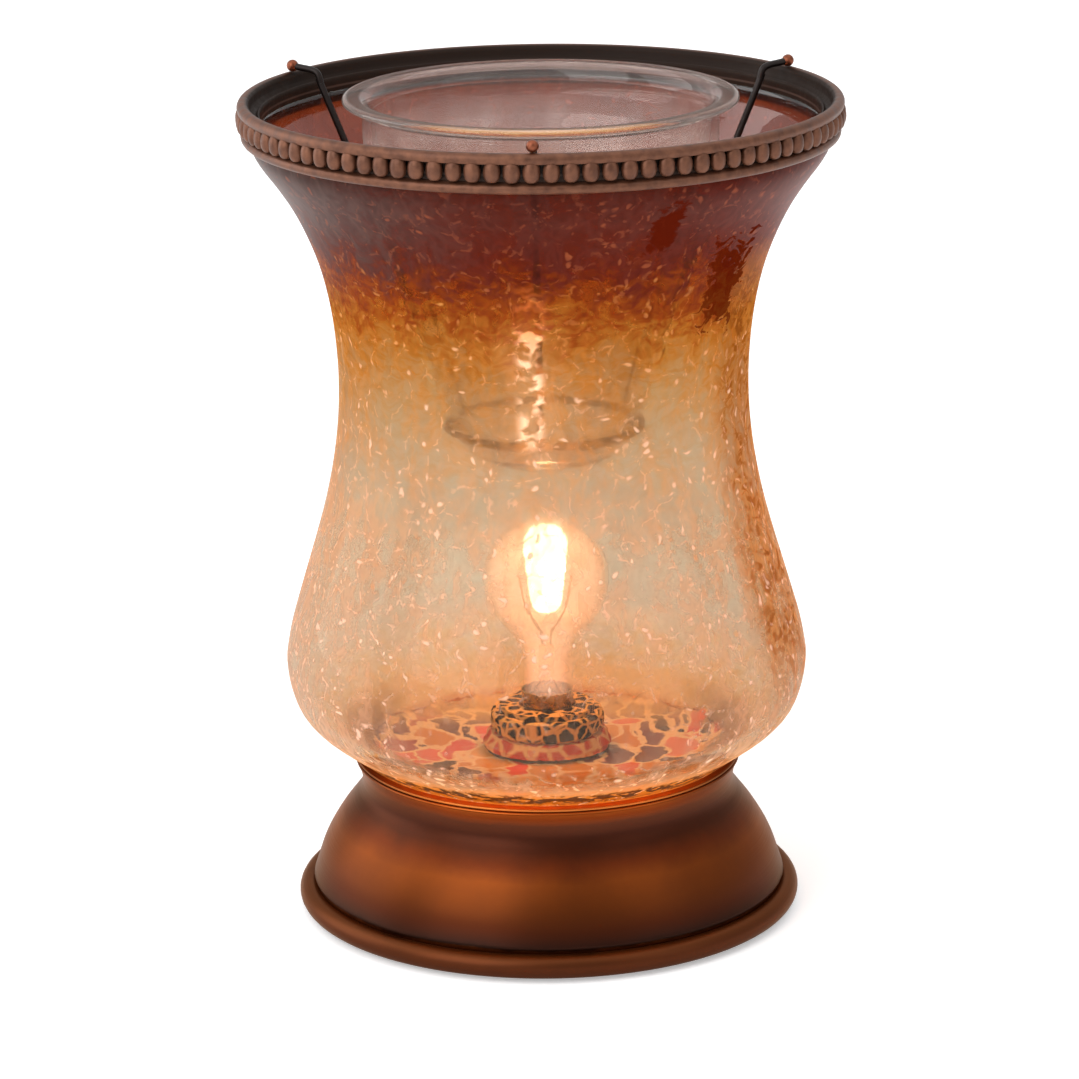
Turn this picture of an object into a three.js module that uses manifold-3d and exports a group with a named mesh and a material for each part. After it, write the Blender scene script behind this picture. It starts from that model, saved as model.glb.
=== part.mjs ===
// An electric wax warmer: a crackle-glass hurricane shade on a spun bronze base, with a beaded
// metal ring round its mouth, a wire hanger hooked over the ring, a deep glass wax dish in the
// hanger, and a small screw-in lamp that warms the dish from below.
// Millimetres, +Z up, origin on the table under the middle of the base, front towards -Y.

import * as THREE from "three";
import { mergeVertices } from "three/addons/utils/BufferGeometryUtils.js";
import Module from "manifold-3d";

const wasm = await Module();
wasm.setup();

// Clearances and counts
const SEAT_GAP = 0.3; // kept between two pieces that rest on each other
const CUT_OVERRUN = 1; // how far a cutting tool runs past the face it cuts
const ROUND_SIDES = 36; // sides of the large turned pieces
const DISH_SIDES = 28;
const SMALL_SIDES = 20;
const PIN_SIDES = 12;
const WIRE_SIDES = 6;

// Spun base shell
const BODY_RADIUS = 62.6; // shell just above the rolled foot
const LIP_PROUD = 3.9; // rolled foot beyond the body
const LIP_HEIGHT = 7;
const LIP_LIFT = 0.5; // rolled foot above the table
const BODY_RISE = 0.9; // groove between the rolled foot and the body
const BODY_HEIGHT = 26.1; // from the groove to the neck
const NECK_RADIUS = 49.2; // narrowest place
const COLLAR_FLARE = 1.8;
const COLLAR_HEIGHT = 6.1;
const SHELL_WALL = 1.2;

// Pan that closes the base and seats the shade
const PAN_WALL = 0.8;
const PAN_DEPTH = 5.7;

// Bottom plate with its feet, screws and posts
const PLATE_THICKNESS = 1.2;
const PLATE_LIFT = 2.4; // underside above the table
const FOOT_RADIUS = 5;
const FOOT_INSET = 12.6; // from the shell's outside to the middle of a foot
const FOOT_COUNT = 4;
const FOOT_TAPER = 0.8;
const POST_RADIUS = 3;
const POST_INSET = 11.2; // from the neck's outside to the middle of a post
const POST_COUNT = 3;
const SCREW_RADIUS = 1.4;
const SCREW_HEAD_RADIUS = 2.8;
const SCREW_HEAD_HEIGHT = 1;
const SCREW_LENGTH = 12;
const SCREW_SLOT_WIDTH = 0.7;
const SCREW_SLOT_DEPTH = 0.5;

// Cord inlet bush in the back of the base
const INLET_HEIGHT = 15;
const INLET_BORE = 4.4;
const INLET_WALL = 1.5;
const INLET_FLANGE_WIDTH = 1.3;
const INLET_FLANGE_THICKNESS = 1.6;
const INLET_GROOVE_SLACK = 2.2; // room along the groove for the curve of the shell's wall
const INLET_OUTSET = 0.9; // inner face of the outside flange, beyond the wall's outside at the middle

// Crackle-glass shade
const SHADE_WALL = 3;
const SHADE_FOOT_CHAMFER = 2.4;
const SHADE_ROOT_CLEARANCE = 0.5; // between the foot and the pan's wall
const SHADE_SHOULDER_STEP = 2.1;
const SHADE_BULGE_RADIUS = 67.8;
const SHADE_BULGE_RISE = 26; // widest place above the pan's brim
const SHADE_WAIST_RADIUS = 52.8;
const SHADE_WAIST_RISE = 77; // waist above the widest place
const SHADE_MOUTH_RADIUS = 74.1;
const SHADE_MOUTH_RISE = 64; // top edge above the waist

// Gaskets under and over the shade's foot
const GASKET_THICKNESS = 1.4;
const GASKET_WIDTH = 13;
const GASKET_INSET = 1;
const WASHER_GASKET_THICKNESS = 0.8;

// Beaded metal ring round the mouth
const RIM_HEIGHT = 10.3;
const RIM_DROP = 2.3; // how far the ring's skirt hangs below the edge of the glass
const RIM_SKIRT_WALL = 1.1;
const RIM_FLANGE_BULGE = 0.7;
const RIM_FLANGE_HEIGHT = 2.9;
const RIM_CHANNEL_WALL = 0.7; // floor of the bead channel outside the skirt's inside face
const RIM_CHANNEL_HEIGHT = 5.4;
const RIM_CREST_PROUD = 1.2; // middle of the crest outside the channel's floor
const RIM_CREST_ROLL = 1.4;
const RIM_LEDGE = 2.7; // how far the ring reaches inwards over the edge of the glass
const RIM_RIDGE_DROP = 3.2; // top of the inner ridge below the crest
const RIM_RIDGE_WIDTH = 1.5;
const RIM_VALLEY_DEPTH = 0.7;
const BEAD_COUNT = 100;
const BEAD_PROUD = 3; // crown of a bead outside the channel's floor
const BEAD_VALLEY = 0.9; // strip between two beads, outside the channel's floor

// Wire hanger
const WIRE_RADIUS = 0.9;
const HANGER_RING_RADIUS = 25.6;
const HANGER_RING_RISE = 11; // small ring above the dish's foot
const HOOK_BALL_RADIUS = 1.6;
const HOOK_BALL_OUTSET = 0.1; // ball's middle outside the middle of the crest
const HOOK_INSET = 5.1; // straight part of an arm inside the ring's ledge
const HOOK_BEND_DROP = 5.4;
const ARM_FOOT_LENGTH = 2.4;
const ARM_FOOT_BEND = 0.5;
const HANGER_RING_STEPS = 24;
const ARM_STEPS = 20;

// Glass wax dish
const DISH_WALL = 2.4;
const DISH_NECK_RADIUS = 45.6;
const DISH_LIP_PROUD = 5.2;
const DISH_LIP_HEIGHT = 3.2;
const DISH_HEIGHT = 97.6;
const DISH_OVER_BULB = 15;
const DISH_SHOULDER_DROP = 17.1; // shoulder below the lip's top
const DISH_SHOULDER_STEP = 2.8;
const DISH_CONE_DROP = 4;
const DISH_SEAT_SPREAD = 0.5; // slack round the dish where it sits in the hanger's ring
const DISH_FLOOR_RADIUS = 9;

// Screw thread of the lamp cap and its socket shell
const THREAD_PITCH = 2.54;
const THREAD_TURNS = 5;
const THREAD_MEAN_RADIUS = 5.55;
const THREAD_DEPTH = 0.4; // crest or root from the mean radius
const THREAD_CLEARANCE = 0.45;
const THREAD_SIDES = 14;
const THREAD_ROWS_PER_TURN = 5;

// Lamp socket and what clamps the shade to it
const SHELL_SKIN = 0.6;
const BORE_SLACK = 0.5; // round the brass shell
const BARREL_WALL = 5;
const BARREL_PROUD = 1.3; // barrel above the clamp ring
const BARREL_DEPTH = 23; // from the mouth to the floor of the bore
const BARREL_CLEARANCE = 0.4; // round the barrel in everything that slips over it
const SOCKET_FLANGE_WIDTH = 4.5;
const SOCKET_FLANGE_THICKNESS = 3;
const SOCKET_STEP = 1.5; // body under the flange, inside the barrel's outside
const SOCKET_SKIRT = 10; // hollow skirt below the floor
const SOCKET_SKIRT_WALL = 2.4;
const SOCKET_FLOOR = 3;
const RING_WALL = 2.1;
const RING_HEIGHT = 6;
const RING_CHAMFER = 0.8;
const CUP_WIDTH = 4.1;
const CUP_TAPER = 1.6;
const CUP_RIM_HEIGHT = 1.4;
const CUP_HEIGHT = 4;
const SHADE_HOLE_SLACK = 1.1; // round the barrel in the shade's floor, beyond the other pieces' clearance
const SHELL_STANDOFF = 4; // threaded shell above the floor of the bore
const RIVET_RADIUS = 1.2;
const RIVET_HEAD_RADIUS = 2;
const RIVET_HEAD_HEIGHT = 0.6;
const SHELL_RIVET_OFFSET = 4.6;
const CONTACT_STRIP_THICKNESS = 0.4;
const CONTACT_STRIP_WIDTH = 3.6;
const CONTACT_STRIP_HALF_LENGTH = 4;

// Lamp
const CAP_STANDOFF = 9; // lower edge of the cap above the floor of the bore
const CAP_COLLAR_STEP = 1.35;
const CAP_COLLAR_HEIGHT = 4;
const CAP_WALL = 0.5;
const CAP_FLARE_HEIGHT = 1.3;
const INSULATOR_HEIGHT = 3.2;
const INSULATOR_TIP_RADIUS = 2.6;
const TIP_HEIGHT = 1.4;
const TIP_RADIUS = 1.8;
const BULB_RADIUS = 16.5;
const BULB_CENTRE_RISE = 30.5; // middle of the globe above the cap
const BULB_GLASS_WALL = 0.8;
const BULB_NECK_BEND = 12; // height over which the neck opens into the globe
const STEM_ROD_RADIUS = 2;
const STEM_HEIGHT = 12; // above the cap
const STEM_FLARE_HEIGHT = 5;
const LEAD_RADIUS = 0.35;
const LEAD_SPREAD = 7;
const FILAMENT_RADIUS = 0.6;
const FILAMENT_LIFT = 1.5; // ends of the filament above the middle of the globe
const FILAMENT_RISE = 8.5;

// Wiring in the base
const BLOCK_WIDTH = 20;
const BLOCK_LENGTH = 12;
const BLOCK_HEIGHT = 8;
const BLOCK_FRONT = 22; // front face behind the middle of the base
const BLOCK_HOLE_RADIUS = 1.5;
const BLOCK_HOLE_SPACING = 9;
const BLOCK_SCREW_RADIUS = 1.1;
const BLOCK_SCREW_HEAD_RADIUS = 2;
const INSULATION_RADIUS = 1;
const WIRE_ENTRY_DEPTH = 2.5;
const FEED_LOOP_DROP = 4;

// Heights and radii that follow from the sizes above, from the table up
const bodyFoot = LIP_LIFT + LIP_HEIGHT + BODY_RISE;
const neckHeight = bodyFoot + BODY_HEIGHT;
const collarTop = neckHeight + COLLAR_HEIGHT;
const collarRadius = NECK_RADIUS + COLLAR_FLARE;
const panOutside = NECK_RADIUS - SHELL_WALL - SEAT_GAP;
const panInside = panOutside - PAN_WALL;
const panTop = collarTop + SEAT_GAP + PAN_WALL;
const deckTop = panTop - PAN_DEPTH;
const deckBottom = deckTop - PAN_WALL;
const plateTop = PLATE_LIFT + PLATE_THICKNESS;
const postBottom = plateTop + SEAT_GAP;
const screwHole = SCREW_RADIUS + SEAT_GAP;

const shellRadius = THREAD_MEAN_RADIUS + THREAD_DEPTH + THREAD_CLEARANCE + SHELL_SKIN;
const boreRadius = shellRadius + BORE_SLACK;
const barrelRadius = boreRadius + BARREL_WALL;
const barrelHole = barrelRadius + BARREL_CLEARANCE;
const shadeHole = barrelHole + SHADE_HOLE_SLACK;

const shadeRoot = panInside - SHADE_ROOT_CLEARANCE;
const shadeFoot = shadeRoot - SHADE_FOOT_CHAMFER;
const shadeBottom = deckTop + SEAT_GAP + GASKET_THICKNESS + SEAT_GAP;
const shadeFloor = shadeBottom + SHADE_WALL;
const bulgeHeight = panTop + SEAT_GAP + SHADE_BULGE_RISE;
const waistHeight = bulgeHeight + SHADE_WAIST_RISE;
const shadeTop = waistHeight + SHADE_MOUTH_RISE;
const gasketOutside = shadeFoot - GASKET_INSET;

const cupBottom = shadeFloor + SEAT_GAP + WASHER_GASKET_THICKNESS + SEAT_GAP;
const ringBottom = cupBottom + CUP_HEIGHT + SEAT_GAP;
const barrelTop = ringBottom + RING_HEIGHT + BARREL_PROUD;
const boreFloor = barrelTop - BARREL_DEPTH;
const socketUnderside = boreFloor - SOCKET_FLOOR;
const socketBottom = socketUnderside - SOCKET_SKIRT;
const socketBody = barrelRadius - SOCKET_STEP;
const shellBottom = boreFloor + SHELL_STANDOFF;
const capBottom = boreFloor + CAP_STANDOFF;
const threadTop = capBottom + THREAD_TURNS * THREAD_PITCH;
const capCollar = THREAD_MEAN_RADIUS + CAP_COLLAR_STEP;
const capTop = threadTop + CAP_FLARE_HEIGHT + CAP_COLLAR_HEIGHT;
const bulbSeat = threadTop + CAP_FLARE_HEIGHT + CAP_WALL + SEAT_GAP;
const bulbCentre = capTop + BULB_CENTRE_RISE;
const stemTop = capTop + STEM_HEIGHT;
const leadFoot = stemTop + SEAT_GAP;
const filamentFoot = bulbCentre + FILAMENT_LIFT;

const rimBottom = shadeTop - RIM_DROP;
const rimTop = rimBottom + RIM_HEIGHT;
const skirtInside = SHADE_MOUTH_RADIUS + SEAT_GAP;
const channelFloor = skirtInside + RIM_CHANNEL_WALL;
const channelBottom = rimBottom + RIM_FLANGE_HEIGHT;
const channelTop = channelBottom + RIM_CHANNEL_HEIGHT;
const crestRadius = channelFloor + RIM_CREST_PROUD;
const ledgeRadius = skirtInside - RIM_LEDGE;

const dishBottom = bulbCentre + BULB_RADIUS + DISH_OVER_BULB;
const dishTop = dishBottom + DISH_HEIGHT;
const hangerRingHeight = dishBottom + HANGER_RING_RISE;
const blockMiddle = BLOCK_FRONT + BLOCK_LENGTH / 2;
const blockBoreHeight = postBottom + BLOCK_HEIGHT / 2;

// Materials
const finish = (color, roughness, metalness, more = {}) =>
  new THREE.MeshStandardMaterial({ color, roughness, metalness, ...more });
const bronze = finish(0x8a4a26, 0.35, 0.8);
const agedBronze = finish(0x6e4a36, 0.4, 0.8);
const darkWire = finish(0x2a211e, 0.45, 0.7);
const crackleGlass = finish(0xc88a4a, 0.15, 0, { transparent: true, opacity: 0.5 });
const dishGlass = finish(0xd8cfc8, 0.05, 0, { transparent: true, opacity: 0.35 });
const lampGlass = finish(0xfff1dc, 0.03, 0, { transparent: true, opacity: 0.3 });
const glowing = finish(0xffd9a0, 0.4, 0, { emissive: 0xffb060 });
const brass = finish(0xb8924a, 0.3, 0.9);
const nickel = finish(0xb8b4ac, 0.3, 0.9);
const phenolic = finish(0x1c1917, 0.4, 0);
const rubber = finish(0x1a1a1a, 0.85, 0);
const felt = finish(0x3a2f2a, 0.95, 0);
const steel = finish(0x8d9094, 0.35, 0.9);
const whiteInsulation = finish(0xe6e2da, 0.6, 0);
const blackInsulation = finish(0x262322, 0.6, 0);

// Points of an outline between two corners, from shares of the way in radius and in height
function between([r0, z0], [r1, z1], shares) {
  return shares.map(([rShare, zShare]) => [r0 + (r1 - r0) * rShare, z0 + (z1 - z0) * zShare]);
}

// An outline moved sideways by a wall thickness; positive moves it to the left of its direction.
// Its two ends keep their height, unless they run flat.
function offsetOutline(points, distance) {
  return points.map((point, i) => {
    const before = points[Math.max(i - 1, 0)];
    const after = points[Math.min(i + 1, points.length - 1)];
    const into = i === 0 ? direction(point, after) : direction(before, point);
    const out = i === points.length - 1 ? into : direction(point, after);
    const isEnd = i === 0 || i === points.length - 1;
    if (isEnd && Math.abs(into[1]) > Math.abs(into[0])) {
      return [point[0] - distance / into[1], point[1]];
    }
    const normal = [-(into[1] + out[1]), into[0] + out[0]];
    const reach = (2 * distance) / (normal[0] ** 2 + normal[1] ** 2);
    return [point[0] + normal[0] * reach, point[1] + normal[1] * reach];
  });
}

function direction([r0, z0], [r1, z1]) {
  const length = Math.hypot(r1 - r0, z1 - z0) || 1;
  return [(r1 - r0) / length, (z1 - z0) / length];
}

function signedArea(points) {
  return points.reduce((sum, [r, z], i) => {
    const [nextR, nextZ] = points[(i + 1) % points.length];
    return sum + (r * nextZ - nextR * z) / 2;
  }, 0);
}

// A solid turned about Z from a closed outline of [radius, height] points
function turned(outline, sides = SMALL_SIDES) {
  const points = signedArea(outline) > 0 ? outline : [...outline].reverse();
  const onAxis = points.findIndex(([r]) => r === 0);
  let ring = points;
  if (onAxis >= 0) {
    const start = points.findIndex(([r], i) => r === 0 && points[(i + 1) % points.length][0] > 0);
    ring = points.map((_, i) => points[(start + i) % points.length]);
  } else {
    ring = [...points, points[0]];
  }
  const profile = ring.map(([r, z]) => new THREE.Vector2(r, z));
  return new THREE.LatheGeometry(profile, sides).rotateX(Math.PI / 2);
}

// A plain ring or disc of rectangular section
function disc(inner, outer, bottom, top, sides = SMALL_SIDES) {
  return turned([[inner, bottom], [outer, bottom], [outer, top], [inner, top]], sides);
}

// A round rod along a list of points
function rod(points, radius, sides, steps) {
  const curve = new THREE.CatmullRomCurve3(points.map((p) => new THREE.Vector3(...p)), false, "centripetal");
  const corners = Array.from({ length: sides }, (_, i) => {
    const angle = (2 * Math.PI * i) / sides;
    return new THREE.Vector2(radius * Math.cos(angle), radius * Math.sin(angle));
  });
  return new THREE.ExtrudeGeometry(new THREE.Shape(corners), { steps, extrudePath: curve });
}

function toSolid(geometry) {
  const bare = geometry.clone();
  bare.deleteAttribute("normal");
  bare.deleteAttribute("uv");
  const merged = mergeVertices(bare, 1e-3);
  return new wasm.Manifold(
    new wasm.Mesh({
      numProp: 3,
      vertProperties: new Float32Array(merged.attributes.position.array),
      triVerts: new Uint32Array(merged.index.array),
    }),
  );
}

function toGeometry(solid) {
  const mesh = solid.getMesh();
  const geometry = new THREE.BufferGeometry();
  geometry.setAttribute("position", new THREE.BufferAttribute(mesh.vertProperties, mesh.numProp));
  geometry.setIndex(new THREE.BufferAttribute(mesh.triVerts, 1));
  geometry.computeVertexNormals();
  return geometry;
}

function join(first, ...others) {
  return toGeometry(others.reduce((solid, other) => solid.add(toSolid(other)), toSolid(first)));
}

function cut(first, ...tools) {
  return toGeometry(tools.reduce((solid, tool) => solid.subtract(toSolid(tool)), toSolid(first)));
}

function pin(radius, bottom, top, x = 0, y = 0, sides = PIN_SIDES) {
  const geometry = new THREE.CylinderGeometry(radius, radius, top - bottom, sides);
  return geometry.rotateX(Math.PI / 2).translate(x, y, (bottom + top) / 2);
}

function block(width, length, height, x, y, z) {
  return new THREE.BoxGeometry(width, length, height).translate(x, y, z);
}

// A closed skin over a loop of rings, each a list of the same number of points
function skinned(rings) {
  const count = rings[0].length;
  const index = [];
  rings.forEach((_, i) => {
    const next = (i + 1) % rings.length;
    for (let k = 0; k < count; k++) {
      const turn = (k + 1) % count;
      const [a, b] = [i * count + k, i * count + turn];
      const [c, d] = [next * count + k, next * count + turn];
      index.push(a, b, c, b, d, c);
    }
  });
  const geometry = new THREE.BufferGeometry();
  geometry.setAttribute("position", new THREE.Float32BufferAttribute(rings.flat(2), 3));
  geometry.setIndex(toSolid(geometry.clone().setIndex(index)).volume() > 0 ? index : index.reverse());
  geometry.computeVertexNormals();
  return geometry;
}

// Places spread evenly round a circle
function places(count, radius, firstDegrees) {
  return Array.from({ length: count }, (_, i) => {
    const angle = THREE.MathUtils.degToRad(firstDegrees + (360 * i) / count);
    return [radius * Math.cos(angle), radius * Math.sin(angle)];
  });
}

const warmer = new THREE.Group();

function add(name, geometry, material, group = warmer) {
  const mesh = new THREE.Mesh(geometry, material);
  mesh.name = name;
  group.add(mesh);
  return mesh;
}

// Base

function baseOutside() {
  const lipShares = [[0.35, 0], [0.8, 0.12], [1, 0.42], [0.85, 0.72], [0.45, 0.92], [0.1, 1]];
  const bodyShares = [[0, 0], [0.093, 0.138], [0.194, 0.29], [0.336, 0.444], [0.567, 0.636], [0.8, 0.785],
    [0.945, 0.895], [1, 1]];
  const collarShares = [[0.22, 0.49], [1, 1]];
  const lip = between([BODY_RADIUS, LIP_LIFT], [BODY_RADIUS + LIP_PROUD, LIP_LIFT + LIP_HEIGHT], lipShares);
  const body = between([BODY_RADIUS, bodyFoot], [NECK_RADIUS, neckHeight], bodyShares);
  const collar = between([NECK_RADIUS, neckHeight], [collarRadius, collarTop], collarShares);
  return { lip, upper: [...body, ...collar] };
}

function baseShell() {
  const { lip, upper } = baseOutside();
  const inside = offsetOutline(upper, SHELL_WALL).reverse();
  const shell = turned([[BODY_RADIUS - SHELL_WALL, LIP_LIFT], ...lip, ...upper, ...inside], ROUND_SIDES);
  const reach = INLET_OUTSET + INLET_GROOVE_SLACK + SHELL_WALL + CUT_OVERRUN;
  return cut(shell, intoInlet(pin(INLET_BORE + INLET_WALL + SEAT_GAP, -reach, reach)));
}

// Outside radius of the base and its slope inwards, at the height of the cord inlet
function inletWall() {
  const { upper } = baseOutside();
  const i = upper.findIndex(([, z]) => z > INLET_HEIGHT);
  const [[r0, z0], [r1, z1]] = [upper[i - 1], upper[i]];
  return { radius: r0 + ((r1 - r0) * (INLET_HEIGHT - z0)) / (z1 - z0), slope: Math.atan2(r0 - r1, z1 - z0) };
}

// Turns a piece made about Z so that it lies on the axis of the cord inlet, square to the wall
function intoInlet(geometry) {
  const { radius, slope } = inletWall();
  return geometry.rotateX(slope - Math.PI / 2).translate(0, radius, INLET_HEIGHT);
}

function inletBush() {
  const groove = INLET_BORE + INLET_WALL;
  const flange = groove + INLET_FLANGE_WIDTH;
  const outer = INLET_OUTSET + INLET_FLANGE_THICKNESS;
  const inner = INLET_OUTSET - INLET_GROOVE_SLACK - SHELL_WALL;
  const inmost = inner - INLET_FLANGE_THICKNESS;
  const round = INLET_FLANGE_THICKNESS / 3;
  return intoInlet(turned([
    [INLET_BORE, inmost], [flange - round, inmost], [flange, inmost + round], [flange, inner],
    [groove, inner], [groove, INLET_OUTSET], [flange, INLET_OUTSET], [flange, outer - round],
    [flange - round, outer], [INLET_BORE, outer],
  ], PIN_SIDES));
}

function shadePan() {
  return turned([
    [barrelHole, deckBottom], [panOutside, deckBottom], [panOutside, panTop - PAN_WALL],
    [collarRadius, panTop - PAN_WALL], [collarRadius, panTop], [panInside, panTop],
    [panInside, deckTop], [barrelHole, deckTop],
  ], ROUND_SIDES);
}

const postPlaces = places(POST_COUNT, NECK_RADIUS - POST_INSET, 30);
const footPlaces = places(FOOT_COUNT, BODY_RADIUS - FOOT_INSET, 45);

function bottomPlate() {
  const plate = disc(0, BODY_RADIUS - SHELL_WALL - SEAT_GAP, PLATE_LIFT, plateTop, ROUND_SIDES);
  const hole = (radius, x, y) => pin(radius, PLATE_LIFT - CUT_OVERRUN, plateTop + CUT_OVERRUN, x, y);
  const holes = postPlaces.map(([x, y]) => hole(screwHole, x, y));
  return cut(plate, ...holes, hole(BLOCK_SCREW_RADIUS + SEAT_GAP, 0, blockMiddle));
}

function post() {
  const top = deckBottom - SEAT_GAP;
  const bore = postBottom + SCREW_LENGTH;
  return turned([
    [screwHole, postBottom], [POST_RADIUS, postBottom], [POST_RADIUS, top], [0, top], [0, bore],
    [screwHole, bore],
  ], PIN_SIDES);
}

function plateScrew() {
  const headTop = PLATE_LIFT - SEAT_GAP;
  const head = headTop - SCREW_HEAD_HEIGHT;
  const tip = postBottom + SCREW_LENGTH - SEAT_GAP;
  const screw = turned([
    [0, head], [SCREW_HEAD_RADIUS - SCREW_SLOT_DEPTH, head], [SCREW_HEAD_RADIUS, headTop - SCREW_SLOT_DEPTH],
    [SCREW_HEAD_RADIUS, headTop], [SCREW_RADIUS, headTop], [SCREW_RADIUS, tip - SCREW_RADIUS], [0, tip],
  ], PIN_SIDES);
  const slotLength = 2 * (SCREW_HEAD_RADIUS + CUT_OVERRUN);
  return cut(screw, block(slotLength, SCREW_SLOT_WIDTH, 2 * SCREW_SLOT_DEPTH, 0, 0, head));
}

function foot() {
  const top = PLATE_LIFT - SEAT_GAP;
  return turned([[0, 0], [FOOT_RADIUS - FOOT_TAPER, 0], [FOOT_RADIUS, top], [0, top]], PIN_SIDES);
}

// Shade

function shadeOutside() {
  const shoulder = [shadeRoot + SHADE_SHOULDER_STEP, panTop + SEAT_GAP];
  const bulge = [SHADE_BULGE_RADIUS, bulgeHeight];
  const waist = [SHADE_WAIST_RADIUS, waistHeight];
  const undersideShares = [[0.264, 0.192], [0.565, 0.346], [0.806, 0.538], [0.952, 0.769], [1, 1]];
  const sideShares = [[0.1, 0.13], [0.3, 0.262], [0.574, 0.44], [0.8, 0.61], [0.95, 0.79], [1, 1]];
  const flareShares = [[0.05, 0.22], [0.16, 0.41], [0.364, 0.594], [0.6, 0.742], [0.862, 0.875], [1, 1]];
  const root = [
    [shadeHole, shadeBottom], [shadeFoot, shadeBottom],
    [shadeRoot, (shadeBottom + panTop) / 2], [shadeRoot, panTop], shoulder,
  ];
  const wall = [
    ...between(shoulder, bulge, undersideShares),
    ...between(bulge, waist, sideShares),
    ...between(waist, [SHADE_MOUTH_RADIUS, shadeTop], flareShares),
  ];
  return { root, wall };
}

function shadeGlass() {
  const { root, wall } = shadeOutside();
  const outside = [...root, ...wall];
  const inside = offsetOutline(outside, SHADE_WALL).slice(root.length).reverse();
  return turned([...outside, ...inside, [shadeFoot, shadeFloor], [shadeHole, shadeFloor]], ROUND_SIDES);
}

// Ring round the mouth

function rimRing() {
  const flange = channelFloor + RIM_FLANGE_BULGE;
  const flangeShares = [[1, 0.3], [1, 0.7], [0.4, 1]];
  const crestTurnShares = [0.15, 0.5, 0.85, 1.1];
  const crest = crestTurnShares.map((share) => [
    crestRadius + RIM_CREST_ROLL * Math.cos(Math.PI * share),
    rimTop - RIM_CREST_ROLL + RIM_CREST_ROLL * Math.sin(Math.PI * share),
  ]);
  const ridgeTop = rimTop - RIM_RIDGE_DROP;
  const valley = ridgeTop - RIM_VALLEY_DEPTH;
  return turned([
    [skirtInside, rimBottom], [skirtInside + RIM_SKIRT_WALL, rimBottom],
    ...between([channelFloor, rimBottom], [flange, channelBottom], flangeShares),
    [channelFloor, channelBottom], [channelFloor, channelTop], [crestRadius, channelTop], ...crest,
    [ledgeRadius + RIM_RIDGE_WIDTH, valley], [ledgeRadius + RIM_RIDGE_WIDTH / 2, ridgeTop],
    [ledgeRadius, ridgeTop - RIM_VALLEY_DEPTH / 2], [ledgeRadius, shadeTop + SEAT_GAP],
    [skirtInside, shadeTop + SEAT_GAP],
  ], ROUND_SIDES);
}

// A strip with one bead after another: its outer edge rises to a crown and falls to a valley
function beadStrip() {
  const bottom = channelBottom + SEAT_GAP;
  const top = channelTop - SEAT_GAP;
  const inside = channelFloor + SEAT_GAP;
  const rings = Array.from({ length: 2 * BEAD_COUNT }, (_, i) => {
    const angle = (Math.PI * i) / BEAD_COUNT;
    const reach = channelFloor + (i % 2 ? BEAD_VALLEY : BEAD_PROUD);
    const section = [[inside, bottom], [reach, (bottom + top) / 2], [inside, top]];
    return section.map(([r, z]) => [r * Math.cos(angle), r * Math.sin(angle), z]);
  });
  return skinned(rings);
}

// Hanger

function hangerRing() {
  const ring = new THREE.TorusGeometry(HANGER_RING_RADIUS, WIRE_RADIUS, WIRE_SIDES, HANGER_RING_STEPS);
  return ring.translate(0, 0, hangerRingHeight);
}

// One arm in the plane of X and Z: a ball, a hook over the crest, and a straight drop to the small ring
function hangerArm() {
  const overCrest = rimTop + SEAT_GAP + WIRE_RADIUS;
  const ball = [crestRadius + HOOK_BALL_OUTSET, overCrest + HOOK_BALL_RADIUS - WIRE_RADIUS];
  const dropTop = [ledgeRadius - HOOK_INSET, overCrest - HOOK_BEND_DROP];
  const footRadius = HANGER_RING_RADIUS + 2 * WIRE_RADIUS + SEAT_GAP;
  const footBottom = hangerRingHeight - WIRE_RADIUS;
  const knee = [footRadius + ARM_FOOT_BEND, footBottom + 2 * ARM_FOOT_LENGTH];
  const hookShares = [[0.35, 0.1], [0.75, 0.25], [0.95, 0.55]];
  const dropShares = [[0, 0], [0.1, 0.1], [0.5, 0.5], [0.9, 0.9], [1, 1]];
  const path = [
    ball, ...between([ball[0], overCrest], dropTop, hookShares), ...between(dropTop, knee, dropShares),
    [footRadius, footBottom + ARM_FOOT_LENGTH], [footRadius, footBottom],
  ].map(([r, z]) => [r, 0, z]);
  const tip = new THREE.SphereGeometry(HOOK_BALL_RADIUS, 8, 6).translate(ball[0], 0, ball[1]);
  return join(rod(path, WIRE_RADIUS, WIRE_SIDES, ARM_STEPS), tip);
}

// Wax dish

function waxDish() {
  const seat = HANGER_RING_RADIUS - WIRE_RADIUS - DISH_SEAT_SPREAD;
  const lipBottom = dishTop - DISH_LIP_HEIGHT;
  const shoulder = dishTop - DISH_SHOULDER_DROP;
  const coneTop = [DISH_NECK_RADIUS - DISH_SHOULDER_STEP, shoulder - DISH_CONE_DROP];
  const neckFoot = [DISH_NECK_RADIUS, shoulder + DISH_CONE_DROP];
  const roundingShares = [[0, 0], [0.35, 0.1], [0.66, 0.36], [0.88, 0.7], [1, 1]];
  const shoulderShares = [[0, 0], [0.5, 0.38], [1, 1]];
  const lipShares = [[0.3, 0], [0.85, 0.1], [1, 0.5], [0.85, 0.9], [0.55, 1], [0.1, 0.75]];
  const outside = [
    [0, dishBottom],
    ...between([DISH_FLOOR_RADIUS, dishBottom], [seat, hangerRingHeight], roundingShares),
    ...between(coneTop, neckFoot, shoulderShares),
    [DISH_NECK_RADIUS, lipBottom - DISH_LIP_HEIGHT / 2],
  ];
  const inside = offsetOutline(outside, DISH_WALL).slice(1).reverse();
  const lip = between([DISH_NECK_RADIUS, lipBottom], [DISH_NECK_RADIUS + DISH_LIP_PROUD, dishTop], lipShares);
  return turned([...outside, ...lip, ...inside, [0, dishBottom + DISH_WALL]], DISH_SIDES);
}

// Socket

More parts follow.
